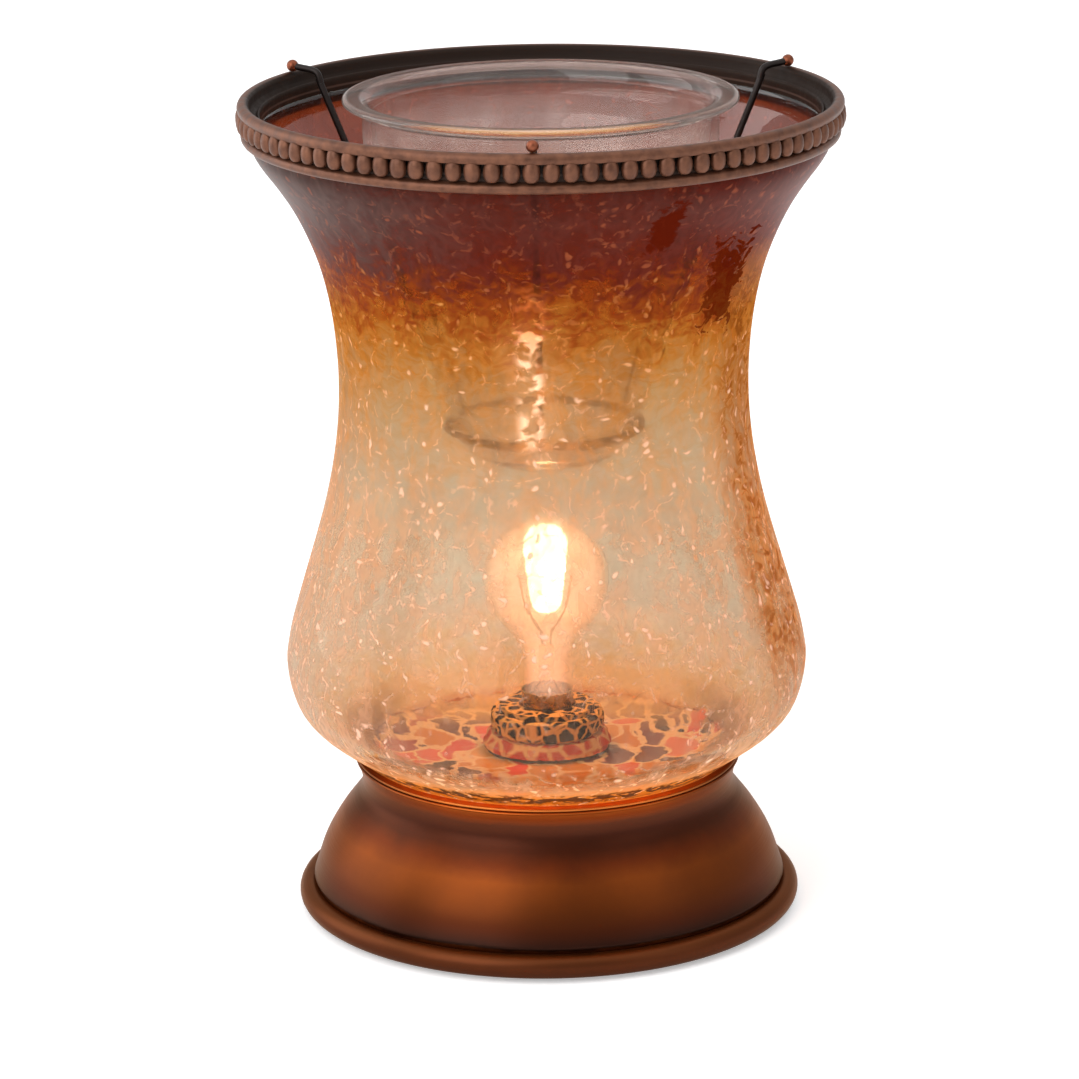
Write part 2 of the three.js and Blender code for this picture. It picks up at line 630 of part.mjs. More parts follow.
function socketMoulding() {
  const flangeTop = deckBottom - SEAT_GAP;
  const flangeBottom = flangeTop - SOCKET_FLANGE_THICKNESS;
  const flange = barrelRadius + SOCKET_FLANGE_WIDTH;
  const cavity = socketBody - SOCKET_SKIRT_WALL;
  const rivetHole = RIVET_RADIUS + SEAT_GAP;
  const body = turned([
    [rivetHole, socketUnderside], [cavity, socketUnderside], [cavity, socketBottom],
    [socketBody, socketBottom], [socketBody, flangeBottom], [flange, flangeBottom], [flange, flangeTop],
    [barrelRadius, flangeTop], [barrelRadius, barrelTop], [boreRadius, barrelTop], [boreRadius, boreFloor], [rivetHole, boreFloor],
  ]);
  const drill = pin(rivetHole, socketUnderside - CUT_OVERRUN, boreFloor + CUT_OVERRUN, SHELL_RIVET_OFFSET, 0);
  return cut(body, drill);
}

// Radius of the thread's surface at an angle and a height, right-handed
function threadRadius(angle, z, clearance) {
  const phase = (2 * Math.PI * (z - capBottom)) / THREAD_PITCH - angle;
  return THREAD_MEAN_RADIUS + clearance + THREAD_DEPTH * Math.cos(phase);
}

// A threaded surface along the cap's height, closed by plain rings of [radius, height]
function threadedTube(clearance, closing) {
  const rows = THREAD_TURNS * THREAD_ROWS_PER_TURN;
  const rise = (threadTop - capBottom) / rows;
  const heights = Array.from({ length: rows + 1 }, (_, i) => capBottom + rise * i);
  const round = (radiusAt, z) => Array.from({ length: THREAD_SIDES }, (_, k) => {
    const angle = (2 * Math.PI * k) / THREAD_SIDES;
    return [radiusAt(angle, z) * Math.cos(angle), radiusAt(angle, z) * Math.sin(angle), z];
  });
  const threaded = heights.map((height) => round((angle, z) => threadRadius(angle, z, clearance), height));
  return skinned([...threaded, ...closing.map(([r, z]) => round(() => r, z))]);
}

function socketShell() {
  const clear = shellRadius - SHELL_SKIN;
  const tube = threadedTube(THREAD_CLEARANCE, [
    [shellRadius, threadTop], [shellRadius, shellBottom], [clear, shellBottom],
    [clear, capBottom - THREAD_PITCH / 4],
  ]);
  const tabBottom = boreFloor + SEAT_GAP;
  const tabInside = SHELL_RIVET_OFFSET - RIVET_HEAD_RADIUS;
  const width = 2 * RIVET_HEAD_RADIUS;
  const legHeight = shellBottom + CONTACT_STRIP_THICKNESS - tabBottom;
  const tab = block(shellRadius - tabInside, width, CONTACT_STRIP_THICKNESS, (tabInside + shellRadius) / 2, 0,
    tabBottom + CONTACT_STRIP_THICKNESS / 2);
  const leg = block(SHELL_SKIN, width, legHeight, shellRadius - SHELL_SKIN / 2, 0, tabBottom + legHeight / 2);
  const drill = pin(RIVET_RADIUS + SEAT_GAP / 2, tabBottom - CUT_OVERRUN, tabBottom + CUT_OVERRUN,
    SHELL_RIVET_OFFSET, 0);
  const inBore = pin(shellRadius, tabBottom - CUT_OVERRUN, threadTop + CUT_OVERRUN, 0, 0, SMALL_SIDES);
  return toGeometry(toSolid(cut(join(tube, tab, leg), drill)).intersect(toSolid(inBore)));
}

// The springy middle contact: a strip folded back over its own rivet
function socketContact() {
  const bottom = boreFloor + SEAT_GAP;
  const t = CONTACT_STRIP_THICKNESS;
  const half = CONTACT_STRIP_HALF_LENGTH;
  const top = capBottom - INSULATOR_HEIGHT - TIP_HEIGHT - SEAT_GAP;
  const knee = (bottom + top) / 2;
  const outline = [
    [-half / 2, bottom], [half, bottom], [half, knee], [-half / 4, top], [-half / 2, top - t / 2],
    [-half / 2, top - t], [-half / 4, top - t], [half - t, knee - t / 2], [half - t, bottom + t],
    [-half / 2, bottom + t],
  ];
  const shape = new THREE.Shape(outline.map(([y, z]) => new THREE.Vector2(y, z)));
  const strip = new THREE.ExtrudeGeometry(shape, { depth: CONTACT_STRIP_WIDTH, bevelEnabled: false });
  strip.translate(0, 0, -CONTACT_STRIP_WIDTH / 2).rotateX(Math.PI / 2).rotateZ(Math.PI / 2);
  return cut(strip, pin(RIVET_RADIUS + SEAT_GAP / 2, bottom - CUT_OVERRUN, bottom + t + SEAT_GAP));
}

function rivet(x) {
  const head = boreFloor + SEAT_GAP + CONTACT_STRIP_THICKNESS + SEAT_GAP / 2;
  const headRadius = (RIVET_RADIUS + RIVET_HEAD_RADIUS) / 2;
  const tail = socketUnderside - SEAT_GAP;
  return turned([
    [0, tail - RIVET_HEAD_HEIGHT], [RIVET_HEAD_RADIUS, tail - RIVET_HEAD_HEIGHT], [RIVET_HEAD_RADIUS, tail],
    [RIVET_RADIUS, tail], [RIVET_RADIUS, head], [headRadius, head],
    [headRadius, head + RIVET_HEAD_HEIGHT / 2], [0, head + RIVET_HEAD_HEIGHT / 2],
  ], PIN_SIDES).translate(x, 0, 0);
}

function clampRing() {
  const top = ringBottom + RING_HEIGHT;
  const outside = barrelHole + RING_WALL;
  return turned([
    [barrelHole, ringBottom], [outside - RING_CHAMFER, ringBottom], [outside, ringBottom + RING_CHAMFER],
    [outside, top - RING_CHAMFER], [outside - RING_CHAMFER, top], [barrelHole, top],
  ]);
}

function cupWasher() {
  const outside = barrelHole + CUP_WIDTH;
  return turned([
    [barrelHole, cupBottom], [outside, cupBottom], [outside, cupBottom + CUP_RIM_HEIGHT],
    [outside - CUP_TAPER, cupBottom + CUP_HEIGHT], [barrelHole, cupBottom + CUP_HEIGHT],
  ]);
}

// Lamp

function capShell() {
  const inner = THREAD_MEAN_RADIUS - THREAD_DEPTH - CAP_WALL;
  const flareTop = threadTop + CAP_FLARE_HEIGHT;
  return threadedTube(0, [
    [capCollar, flareTop], [capCollar, capTop], [capCollar - CAP_WALL, capTop],
    [capCollar - CAP_WALL, flareTop + CAP_WALL], [inner, threadTop], [inner, capBottom],
  ]);
}

function capInsulator() {
  const top = capBottom - SEAT_GAP;
  const outer = THREAD_MEAN_RADIUS - THREAD_DEPTH;
  const bottom = capBottom - INSULATOR_HEIGHT;
  return turned([
    [0, bottom], [INSULATOR_TIP_RADIUS, bottom], [outer, top - CAP_WALL], [outer, top], [0, top],
  ], PIN_SIDES);
}

function tipContact() {
  const top = capBottom - INSULATOR_HEIGHT - SEAT_GAP;
  const bottom = capBottom - INSULATOR_HEIGHT - TIP_HEIGHT;
  return turned([
    [0, bottom], [TIP_RADIUS / 2, bottom], [TIP_RADIUS, (top + bottom) / 2], [TIP_RADIUS, top], [0, top],
  ], PIN_SIDES);
}

function bulbGlass() {
  const neck = capCollar - CAP_WALL - SEAT_GAP;
  const mouthShare = 1.6; // where the globe begins, as a share of the neck's radius
  const bendShares = [1.15, 1 / 3];
  const steps = 8;
  const open = Math.asin((neck * mouthShare) / BULB_RADIUS);
  const globeFoot = bulbCentre - BULB_RADIUS * Math.cos(open);
  const bend = Math.min(BULB_NECK_BEND, globeFoot - capTop);
  const globe = Array.from({ length: steps + 1 }, (_, i) => {
    const angle = open + ((Math.PI - open) * i) / steps;
    return [i === steps ? 0 : BULB_RADIUS * Math.sin(angle), bulbCentre - BULB_RADIUS * Math.cos(angle)];
  });
  const outside = [
    [neck, bulbSeat], [neck, globeFoot - bend],
    [neck * bendShares[0], globeFoot - bend * bendShares[1]], ...globe,
  ];
  const inside = offsetOutline(outside, BULB_GLASS_WALL).slice(0, -1).reverse();
  return turned([...outside, [0, bulbCentre + BULB_RADIUS - BULB_GLASS_WALL], ...inside], SMALL_SIDES);
}

function lampStem() {
  const flare = capCollar - CAP_WALL - 2 * SEAT_GAP - BULB_GLASS_WALL;
  return turned([
    [0, bulbSeat], [flare, bulbSeat], [flare, bulbSeat + BULB_GLASS_WALL],
    [STEM_ROD_RADIUS, bulbSeat + STEM_FLARE_HEIGHT], [STEM_ROD_RADIUS, stemTop], [0, stemTop],
  ], PIN_SIDES);
}

function lampLead(side) {
  const tip = filamentFoot - FILAMENT_RADIUS - SEAT_GAP;
  const foot = [STEM_ROD_RADIUS / 2, leadFoot];
  const leadShares = [[0, 0], [0, 0.13], [0.65, 0.5], [1, 1]];
  const path = between(foot, [LEAD_SPREAD, tip], leadShares);
  return rod(path.map(([x, z]) => [side * x, 0, z]), LEAD_RADIUS, 4, 6);
}

function filament() {
  const spanShares = [-1, -0.72, 0, 0.72, 1];
  const points = spanShares.map((share) => {
    return [share * LEAD_SPREAD, 0, filamentFoot + FILAMENT_RISE * Math.sqrt(1 - share * share)];
  });
  return rod(points, FILAMENT_RADIUS, 5, 12);
}

// Wiring

function terminalBlock() {
  const body = block(BLOCK_WIDTH, BLOCK_LENGTH, BLOCK_HEIGHT, 0, blockMiddle, blockBoreHeight);
  const bores = [-1, 1].map((side) => {
    const bore = pin(BLOCK_HOLE_RADIUS, -BLOCK_LENGTH, BLOCK_LENGTH);
    return bore.rotateX(Math.PI / 2).translate((side * BLOCK_HOLE_SPACING) / 2, blockMiddle, blockBoreHeight);
  });
  const top = postBottom + BLOCK_HEIGHT + CUT_OVERRUN;
  const hole = pin(BLOCK_SCREW_RADIUS + SEAT_GAP, postBottom - CUT_OVERRUN, top, 0, blockMiddle);
  return cut(body, ...bores, hole);
}

function blockScrew() {
  const head = postBottom + BLOCK_HEIGHT + SEAT_GAP;
  return turned([
    [0, PLATE_LIFT], [BLOCK_SCREW_RADIUS, PLATE_LIFT + BLOCK_SCREW_RADIUS], [BLOCK_SCREW_RADIUS, head],
    [BLOCK_SCREW_HEAD_RADIUS, head], [BLOCK_SCREW_HEAD_RADIUS, head + SCREW_HEAD_HEIGHT],
    [0, head + SCREW_HEAD_HEIGHT],
  ], PIN_SIDES).translate(0, blockMiddle, 0);
}

// An insulated lead from a rivet's tail under the socket to a bore of the terminal block
function feedLead(fromX, side) {
  const top = socketUnderside - SEAT_GAP - RIVET_HEAD_HEIGHT - SEAT_GAP;
  const boreX = (side * BLOCK_HOLE_SPACING) / 2;
  return rod([
    [fromX, 0, top], [fromX, 0, socketBottom],
    [(fromX + boreX) / 2, FEED_LOOP_DROP, (socketBottom + blockBoreHeight) / 2],
    [boreX, BLOCK_FRONT / 2, blockBoreHeight], [boreX, BLOCK_FRONT - FEED_LOOP_DROP, blockBoreHeight],
    [boreX, BLOCK_FRONT + WIRE_ENTRY_DEPTH, blockBoreHeight],
  ], INSULATION_RADIUS, WIRE_SIDES, 14);
}

// The warmer, piece by piece

add("base_shell", baseShell(), bronze);
add("shade_pan", shadePan(), bronze);
add("bottom_plate", bottomPlate(), steel);
add("cord_inlet_bush", inletBush(), rubber);
postPlaces.forEach(([x, y], i) => {
  add(`plate_post_${i + 1}`, post(), steel).position.set(x, y, 0);
  add(`plate_screw_${i + 1}`, plateScrew(), steel).position.set(x, y, 0);
});
footPlaces.forEach(([x, y], i) => {
  add(`foot_${i + 1}`, foot(), rubber).position.set(x, y, 0);
});

add("terminal_block", terminalBlock(), phenolic);
add("terminal_block_screw", blockScrew(), steel);
add("feed_lead_live", feedLead(0, -1), blackInsulation);
add("feed_lead_neutral", feedLead(SHELL_RIVET_OFFSET, 1), whiteInsulation);

add("socket_body", socketMoulding(), phenolic);
add("socket_shell", socketShell(), brass);
add("socket_contact", socketContact(), brass);
add("contact_rivet", rivet(0), brass);
add("shell_rivet", rivet(SHELL_RIVET_OFFSET), brass);
add("shade_clamp_ring", clampRing(), phenolic);
add("cup_washer", cupWasher(), bronze);
add("washer_gasket", disc(barrelHole, barrelHole + CUP_WIDTH - SEAT_GAP, shadeFloor + SEAT_GAP,
  shadeFloor + SEAT_GAP + WASHER_GASKET_THICKNESS), felt);
add("shade_gasket", disc(gasketOutside - GASKET_WIDTH, gasketOutside, deckTop + SEAT_GAP,
  deckTop + SEAT_GAP + GASKET_THICKNESS, DISH_SIDES), felt);

add("shade_glass", shadeGlass(), crackleGlass);
add("rim_ring", rimRing(), agedBronze);
add("rim_bead_strip", beadStrip(), agedBronze);

add("hanger_ring", hangerRing(), darkWire);
["front", "right", "left"].forEach((side, i, sides) => {
  const turn = (2 * Math.PI * i) / sides.length - Math.PI / 2;
  add(`hanger_arm_${side}`, hangerArm(), darkWire).rotation.z = turn;
});
add("wax_dish", waxDish(), dishGlass);

add("bulb_cap", capShell(), brass);
add("bulb_insulator", capInsulator(), phenolic);
add("bulb_tip", tipContact(), nickel);
add("bulb_glass", bulbGlass(), lampGlass);
add("bulb_stem", lampStem(), lampGlass);
add("bulb_lead_left", lampLead(-1), nickel);
add("bulb_lead_right", lampLead(1), nickel);
add("bulb_filament", filament(), glowing);

export default warmer;
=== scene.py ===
import math
import random
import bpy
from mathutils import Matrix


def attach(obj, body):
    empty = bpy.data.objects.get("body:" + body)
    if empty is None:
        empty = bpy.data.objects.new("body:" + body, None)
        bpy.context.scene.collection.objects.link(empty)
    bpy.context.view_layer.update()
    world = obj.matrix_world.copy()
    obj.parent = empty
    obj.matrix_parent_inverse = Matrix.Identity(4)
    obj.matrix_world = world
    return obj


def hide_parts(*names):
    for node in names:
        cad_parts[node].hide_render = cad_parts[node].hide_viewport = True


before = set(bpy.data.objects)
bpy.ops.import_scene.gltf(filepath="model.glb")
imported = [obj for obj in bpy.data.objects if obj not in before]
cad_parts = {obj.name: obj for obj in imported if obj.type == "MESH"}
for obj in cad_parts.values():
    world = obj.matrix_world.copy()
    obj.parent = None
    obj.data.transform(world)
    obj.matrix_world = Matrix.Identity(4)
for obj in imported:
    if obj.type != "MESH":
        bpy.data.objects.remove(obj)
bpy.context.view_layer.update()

from types import SimpleNamespace

import bmesh
import bpy
from mathutils import Matrix, Vector

random.seed(7)
MM = 0.001

# Places that materials and shapes share, in millimetres; a direction round the axis is in turns
BEAD_HEIGHT = 212.35
FRONT = -0.25

# How glass is made, for the eye: how strongly it bends light, and how milky it is
SHADE_BEND, DISH_BEND, STEM_BEND, GLOBE_BEND = 1.33, 1.32, 1.05, 1.004
HAZE = 0.045

# Camera: the photograph's long lens, over a metre away, above the object and looking down at it
LENS, SENSOR = 156.47, 36
LENS_SHIFT = (-0.0054, -0.0019)
EYE = (0, -1.1827, 0.4366)
LOOK_DOWN, TILT = 15.907, -0.62

camera = bpy.data.objects.new("camera", bpy.data.cameras.new("camera"))
bpy.context.scene.collection.objects.link(camera)
camera.data.sensor_width = SENSOR
camera.data.lens = LENS
camera.data.shift_x, camera.data.shift_y = LENS_SHIFT
camera.location = EYE
pitch = Matrix.Rotation(math.radians(90 - LOOK_DOWN), 4, "X")
camera.rotation_euler = (pitch @ Matrix.Rotation(math.radians(TILT), 4, "Z")).to_euler()
bpy.context.scene.camera = camera
bpy.context.scene.view_settings.view_transform = "Standard"
bpy.context.scene.view_settings.look = "None"


# Materials
def colour(code, alpha=1.0):
    """sRGB hex to the linear colour Blender wants."""
    parts = [int(code[i : i + 2], 16) / 255 for i in (0, 2, 4)]
    return tuple(c / 12.92 if c <= 0.04045 else ((c + 0.055) / 1.055) ** 2.4 for c in parts) + (alpha,)


WHITE = colour("FFFFFF")
FALL = (1.0, 0.0)  # a remapped value falls from one to nothing
NOISE_RANGE = (0.35, 0.65)  # where most of a noise lies
WIDE_RANGE = (0.3, 0.7)
FINE_BUMP = 0.0002  # metres


def node(mat, kind, inputs=None, stops=None, **settings):
    """Adds a node, sets it up and links or fills its inputs."""
    made = mat.node_tree.nodes.new("ShaderNode" + kind)
    for key, value in settings.items():
        setattr(made, key, value)
    for socket, value in (inputs or {}).items():
        if isinstance(value, bpy.types.NodeSocket):
            mat.node_tree.links.new(value, made.inputs[socket])
        else:
            made.inputs[socket].default_value = value
    if stops:
        elements = made.color_ramp.elements
        while len(elements) < len(stops):
            elements.new(1)
        for element, (position, code) in zip(elements, stops):
            element.position = position
            element.color = colour(code)
    return made


VALUE_RANGE = ("Value", "From Min", "From Max", "To Min", "To Max")
NOISE_INPUTS = ("Vector", "Scale", "Detail", "Roughness", "Distortion")

# Forms of node that come often: kind, inputs in the order of the values, the output to read, and settings.
# A noise's scale is in clouds, and that of cracks in cells, for each unit of the vector.
FORMS = {
    "plus": ("Math", (0, 1), 0, {"operation": "ADD"}),
    "minus": ("Math", (0, 1), 0, {"operation": "SUBTRACT"}),
    "times": ("Math", (0, 1), 0, {"operation": "MULTIPLY"}),
    "times, at most 1": ("Math", (0, 1), 0, {"operation": "MULTIPLY", "use_clamp": True}),
    "over": ("Math", (0, 1), 0, {"operation": "DIVIDE"}),
    "power": ("Math", (0, 1), 0, {"operation": "POWER"}),
    "root": ("Math", (0, 1), 0, {"operation": "SQRT"}),
    "size": ("Math", (0, 1), 0, {"operation": "ABSOLUTE"}),
    "angle": ("Math", (0, 1), 0, {"operation": "ARCTAN2"}),
    "highest": ("Math", (0, 1), 0, {"operation": "MAXIMUM"}),
    "stretch": ("VectorMath", (0, 1), 0, {"operation": "MULTIPLY"}),
    "remap": ("MapRange", VALUE_RANGE, "Result", {}),
    "soft remap": ("MapRange", VALUE_RANGE, "Result", {"interpolation_type": "SMOOTHSTEP"}),
    "ramp": ("ValToRGB", (0,), 0, {}),
    "mix": ("Mix", (0, 6, 7), 2, {"data_type": "RGBA"}),
    "noise": ("TexNoise", NOISE_INPUTS, 0, {}),
    "cracks": ("TexVoronoi", ("Vector", "Scale"), 0, {"feature": "DISTANCE_TO_EDGE"}),
    "bump": ("Bump", ("Height", "Strength", "Distance"), 0, {}),
    "glass": ("BsdfGlass", ("Color", "IOR", "Roughness", "Normal"), 0, {}),
    "mix shader": ("MixShader", (0, 1, 2), 0, {}),
}


def use(mat, form, *values, stops=None):
    """The output of a node of this form; each value past its inputs is joined on by one more such node."""
    kind, inputs, out, settings = FORMS[form]
    result = node(mat, kind, dict(zip(inputs, values)), stops, **settings).outputs[out]
    for value in values[len(inputs) :]:
        result = node(mat, kind, {inputs[0]: result, inputs[1]: value}, **settings).outputs[out]
    return result


def material(name):
    mat = bpy.data.materials.new(name)
    mat.use_nodes = True
    mat.node_tree.nodes.clear()
    return mat


def output(mat, surface):
    node(mat, "OutputMaterial", {"Surface": surface})
    return mat


def place(mat, scale=(1000, 1000, 1000)):
    """Object coordinates in millimetres, or in other units where the pattern is stretched."""
    coords = node(mat, "TexCoord")
    return node(mat, "Mapping", {"Vector": coords.outputs["Object"], "Scale": scale}).outputs[0]


def away(mat, value, centre=0.0):
    """How far a value is from a centre, to either side."""
    return use(mat, "size", use(mat, "minus", value, centre) if centre else value)


def polar(mat):
    """Distance from the axis, angle round it and height, in millimetres (the angle in turns)."""
    x, y, z = node(mat, "SeparateXYZ", {0: place(mat)}).outputs
    radius = use(mat, "root", use(mat, "plus", use(mat, "times", x, x), use(mat, "times", y, y)))
    angle = use(mat, "over", use(mat, "angle", y, x), 2 * math.pi)
    return radius, angle, z


def scatter_shader(mat, passed, tint, behind):
    """Matt glass: a share of the light passes through it, and the rest comes back."""
    back = node(mat, "BsdfDiffuse", {"Color": tint}).outputs[0]
    forward = node(mat, "BsdfTranslucent", {"Color": behind}).outputs[0]
    return use(mat, "mix shader", passed, back, forward)


def through(mat, glass, tint):
    """Glass for the eye, and plain tinted see-through for lamps, so that light reaches what is inside."""
    path = node(mat, "LightPath")
    clear = node(mat, "BsdfTransparent", {"Color": tint}).outputs[0]
    shadow = use(mat, "highest", path.outputs["Is Shadow Ray"], path.outputs["Is Diffuse Ray"])
    return use(mat, "mix shader", shadow, glass, clear)


def glints(mat, spot, size, radius, share):
    """Painted glints: bright specks, one in a share of cells of this size, in millimetres."""
    cells = node(mat, "TexVoronoi", {"Vector": spot, "Scale": 1 / size})
    near = use(mat, "soft remap", cells.outputs["Distance"], radius / size * 0.3, radius / size, *FALL)
    chosen = node(mat, "SeparateColor", {0: cells.outputs["Color"]}).outputs[0]
    return use(mat, "times", near, use(mat, "remap", chosen, 1 - share, 1.01 - share))


def plain(name, code, roughness, metallic=0.0, grain=0.4, strength=0.2, code_2=None, coat=0.0):
    """A real finish with grain: two near colours, uneven gloss and a fine bump."""
    mat = material(name)
    grains = use(mat, "noise", place(mat), grain, 5.0, 0.6)
    base = use(mat, "mix", use(mat, "remap", grains, *NOISE_RANGE), colour(code), colour(code_2 or code))
    rough = use(mat, "remap", grains, *WIDE_RANGE, max(roughness - 0.07, 0.02), roughness + 0.07)
    inputs = {"Base Color": base, "Metallic": metallic, "Roughness": rough, "Coat Weight": coat}
    inputs["Normal"] = use(mat, "bump", grains, strength, FINE_BUMP)
    return output(mat, node(mat, "BsdfPrincipled", inputs).outputs[0])


def spun_bronze():
    """Spun steel under a copper-bronze lacquer: satin, with painted shade in the neck and by the foot."""
    neck_top, lip_bottom, lip_top = 42.0, 36.0, 39.0
    mat = material("spun_bronze")
    radius, _, z = polar(mat)
    rings = {"X": use(mat, "times", radius, 3.0), "Z": use(mat, "times", z, 3.0)}
    lines = node(mat, "CombineXYZ", rings).outputs[0]
    turning = use(mat, "noise", lines, 1.6, 3.0)
    mottle = use(mat, "noise", place(mat), 0.06, 4.0, 0.6)
    level = use(mat, "plus", z, use(mat, "remap", mottle, *WIDE_RANGE, -0.5, 0.5))
    level = use(mat, "remap", level, 0.0, neck_top)
    # painted shade and light by height: darker in the groove above the foot roll, by the foot and in the
    # neck, and the lamp's glow painted bright orange on the lip
    base = use(
        mat, "ramp", level,
        stops=(
            (0.0, "3A1606"), (0.12, "55280F"), (0.17, "663414"), (0.19, "1C0A04"), (0.22, "30140A"),
            (0.29, "461A04"), (0.42, "622B05"), (0.55, "743509"), (0.64, "5E2506"), (0.72, "421A08"),
            (0.8, "401A0C"), (0.87, "5A2C18"), (0.92, "944010"), (0.96, "BC5C1E"), (1.0, "EC8C40"),
        ),
    )
    base = use(mat, "mix", use(mat, "remap", mottle, *NOISE_RANGE, 0.0, 0.25), base, colour("2A1006"))

    # the lip carries the lamp's glow, painted in front and behind, and painted shade at both sides
    across = away(mat, node(mat, "SeparateXYZ", {0: place(mat)}).outputs[0])
    shaded = use(
        mat, "times", use(mat, "remap", across, 26.0, 46.0, 0.0, 0.85),
        use(mat, "remap", z, lip_bottom, lip_top),
    )
    base = use(mat, "mix", shaded, base, colour("4A2414"))
    rough = use(mat, "remap", turning, *WIDE_RANGE, 0.34, 0.44)
    inputs = {"Base Color": base, "Metallic": 0.8, "Roughness": rough}
    inputs.update({"Specular IOR Level": 0.25, "Specular Tint": colour("E8C4A8")})
    inputs.update({"Coat Weight": 0.08, "Coat Roughness": 0.35})
    inputs["Normal"] = use(mat, "bump", turning, 0.06, FINE_BUMP)
    return output(mat, node(mat, "BsdfPrincipled", inputs).outputs[0])


def antique_bronze():
    """Cast bronze, rubbed to a dull copper outside, black inside and deep between the beads."""
    inner_edge, channel_floor, highlight_height = 75.0, 75.3, 211.4
    mat = material("antique_bronze")
    radius, _, z = polar(mat)
    mottle = use(mat, "noise", place(mat), 0.35, 5.0, 0.6)
    rubbed = use(mat, "mix", use(mat, "remap", mottle, *NOISE_RANGE), colour("553323"), colour("734934"))
    outside_channel = use(mat, "remap", away(mat, z, BEAD_HEIGHT), 1.5, 2.3)
    outside_channel = use(
        mat, "highest", outside_channel, use(mat, "remap", radius, channel_floor, channel_floor + 1.0),
    )
    base = use(mat, "mix", outside_channel, colour("24140D"), rubbed)
    outside = use(mat, "remap", radius, inner_edge, inner_edge + 0.9)
    # painted highlight: a thin pale line round the black inside
    ridge_highlight = use(mat, "remap", away(mat, z, highlight_height), 0.15, 0.4, 0.6, 0.0)
    base = use(mat, "mix", outside, use(mat, "mix", ridge_highlight, colour("2A201B"), colour("5C4C46")), base)
    inputs = {"Base Color": base, "Roughness": use(mat, "remap", mottle, *WIDE_RANGE, 0.36, 0.52)}
    inputs["Metallic"] = use(mat, "times", outside, 0.6)
    inputs["Specular IOR Level"] = use(mat, "remap", outside, 0.0, 1.0, 0.05, 0.5)
    inputs["Normal"] = use(mat, "bump", mottle, 0.25, 0.0004)
    return output(mat, node(mat, "BsdfPrincipled", inputs).outputs[0])


def lamplit_wire():
    """Bronze wire: nearly black at the mouth, paler below it, with broken lamplit spots on the front arm."""
    dark_above, pale_below = 178.0, 160.0
    mat = material("bronze_wire")
    _, angle, z = polar(mat)
    spots = use(mat, "noise", place(mat), 0.16, 2.0, 0.6)
    front = use(mat, "remap", away(mat, angle, FRONT), 0.04, 0.09, *FALL)
    # painted lamplight: the wire is paler below the mouth, and glows in spots on the front arm
    low = use(mat, "remap", z, dark_above, pale_below)
    lit = use(mat, "times", low, front, use(mat, "remap", spots, 0.4, 0.56))
    pale = use(mat, "mix", use(mat, "remap", spots, 0.4, 0.6), colour("4C3620"), colour("8C6C46"))
    base = use(mat, "mix", lit, use(mat, "mix", low, colour("1E1512"), pale), colour("D8A070"))
    inputs = {"Base Color": base, "Metallic": 0.6, "Roughness": 0.4}
    inputs.update({"Emission Color": colour("FFB888"), "Emission Strength": use(mat, "times", lit, 0.7)})
    return output(mat, node(mat, "BsdfPrincipled", inputs).outputs[0])


def crackled_wall(mat):
    """Where each point of the wall lies, and the cracks there: clouds, swirls, a net, arcs and specks."""
    plate, long_crack, drift_reach = 3.6, 8.0, 9.0
    drawn_up, flattened = (1.0, 1.0, 0.45), (0.5, 0.5, 1.0)
    wall = SimpleNamespace()
    _, wall.angle, wall.z = polar(mat)
    here = place(mat)
    wall.across, wall.depth, _ = node(mat, "SeparateXYZ", {0: here}).outputs
    drift = node(mat, "TexNoise", {"Vector": here, "Scale": 0.1, "Detail": 3.0}).outputs["Color"]
    drift = node(mat, "VectorMath", {0: drift, 1: (0.5, 0.5, 0.5)}, operation="SUBTRACT").outputs[0]
    drift = node(mat, "VectorMath", {0: drift, "Scale": drift_reach}, operation="SCALE").outputs[0]
    spot = node(mat, "VectorMath", {0: here, 1: drift}, operation="ADD").outputs[0]
    drawn = use(mat, "stretch", spot, drawn_up)
    flat = use(mat, "stretch", spot, flattened)
    wall.cloud = use(mat, "noise", drawn, 0.17, 3.0, 0.55)
    wall.grain = use(mat, "noise", spot, 0.45, 2.0, 0.6)
    wall.swirl = use(mat, "noise", flat, 0.5, 3.0, 0.5, 0.8)
    wall.blobs = use(mat, "noise", flat, 0.36, 1.0)
    net = use(mat, "soft remap", use(mat, "cracks", drawn, 1 / plate), 0.0, 0.38, *FALL)
    wall.net = use(mat, "times", net, use(mat, "remap", wall.cloud, 0.38, 0.58, 0.25, 1.0))
    arcs = use(mat, "soft remap", use(mat, "cracks", spot, 1 / long_crack), 0.0, 0.07, *FALL)
    wall.arcs = use(mat, "times", arcs, use(mat, "soft remap", wall.grain, 0.5, 0.6))
    # painted glints: bright specks that stand for the lamp caught in the cracks
    round_specks, tall_specks = glints(mat, spot, 3.6, 1.15, 0.2), glints(mat, drawn, 2.6, 0.75, 0.14)
    wall.specks = use(mat, "highest", round_specks, tall_specks, glints(mat, flat, 2.6, 0.8, 0.1))
    return wall


def stain_level(mat, wall):
    """From 0 at the foot to 1 at the mouth, uneven like the edge of the stain."""
    foot, mouth = 38.0, 208.0
    uneven = use(mat, "remap", wall.cloud, *NOISE_RANGE, -4.0, 4.0)
    uneven = use(mat, "plus", uneven, use(mat, "remap", wall.swirl, *NOISE_RANGE, -5.0, 5.0))
    return use(mat, "remap", use(mat, "plus", wall.z, uneven), foot, mouth)


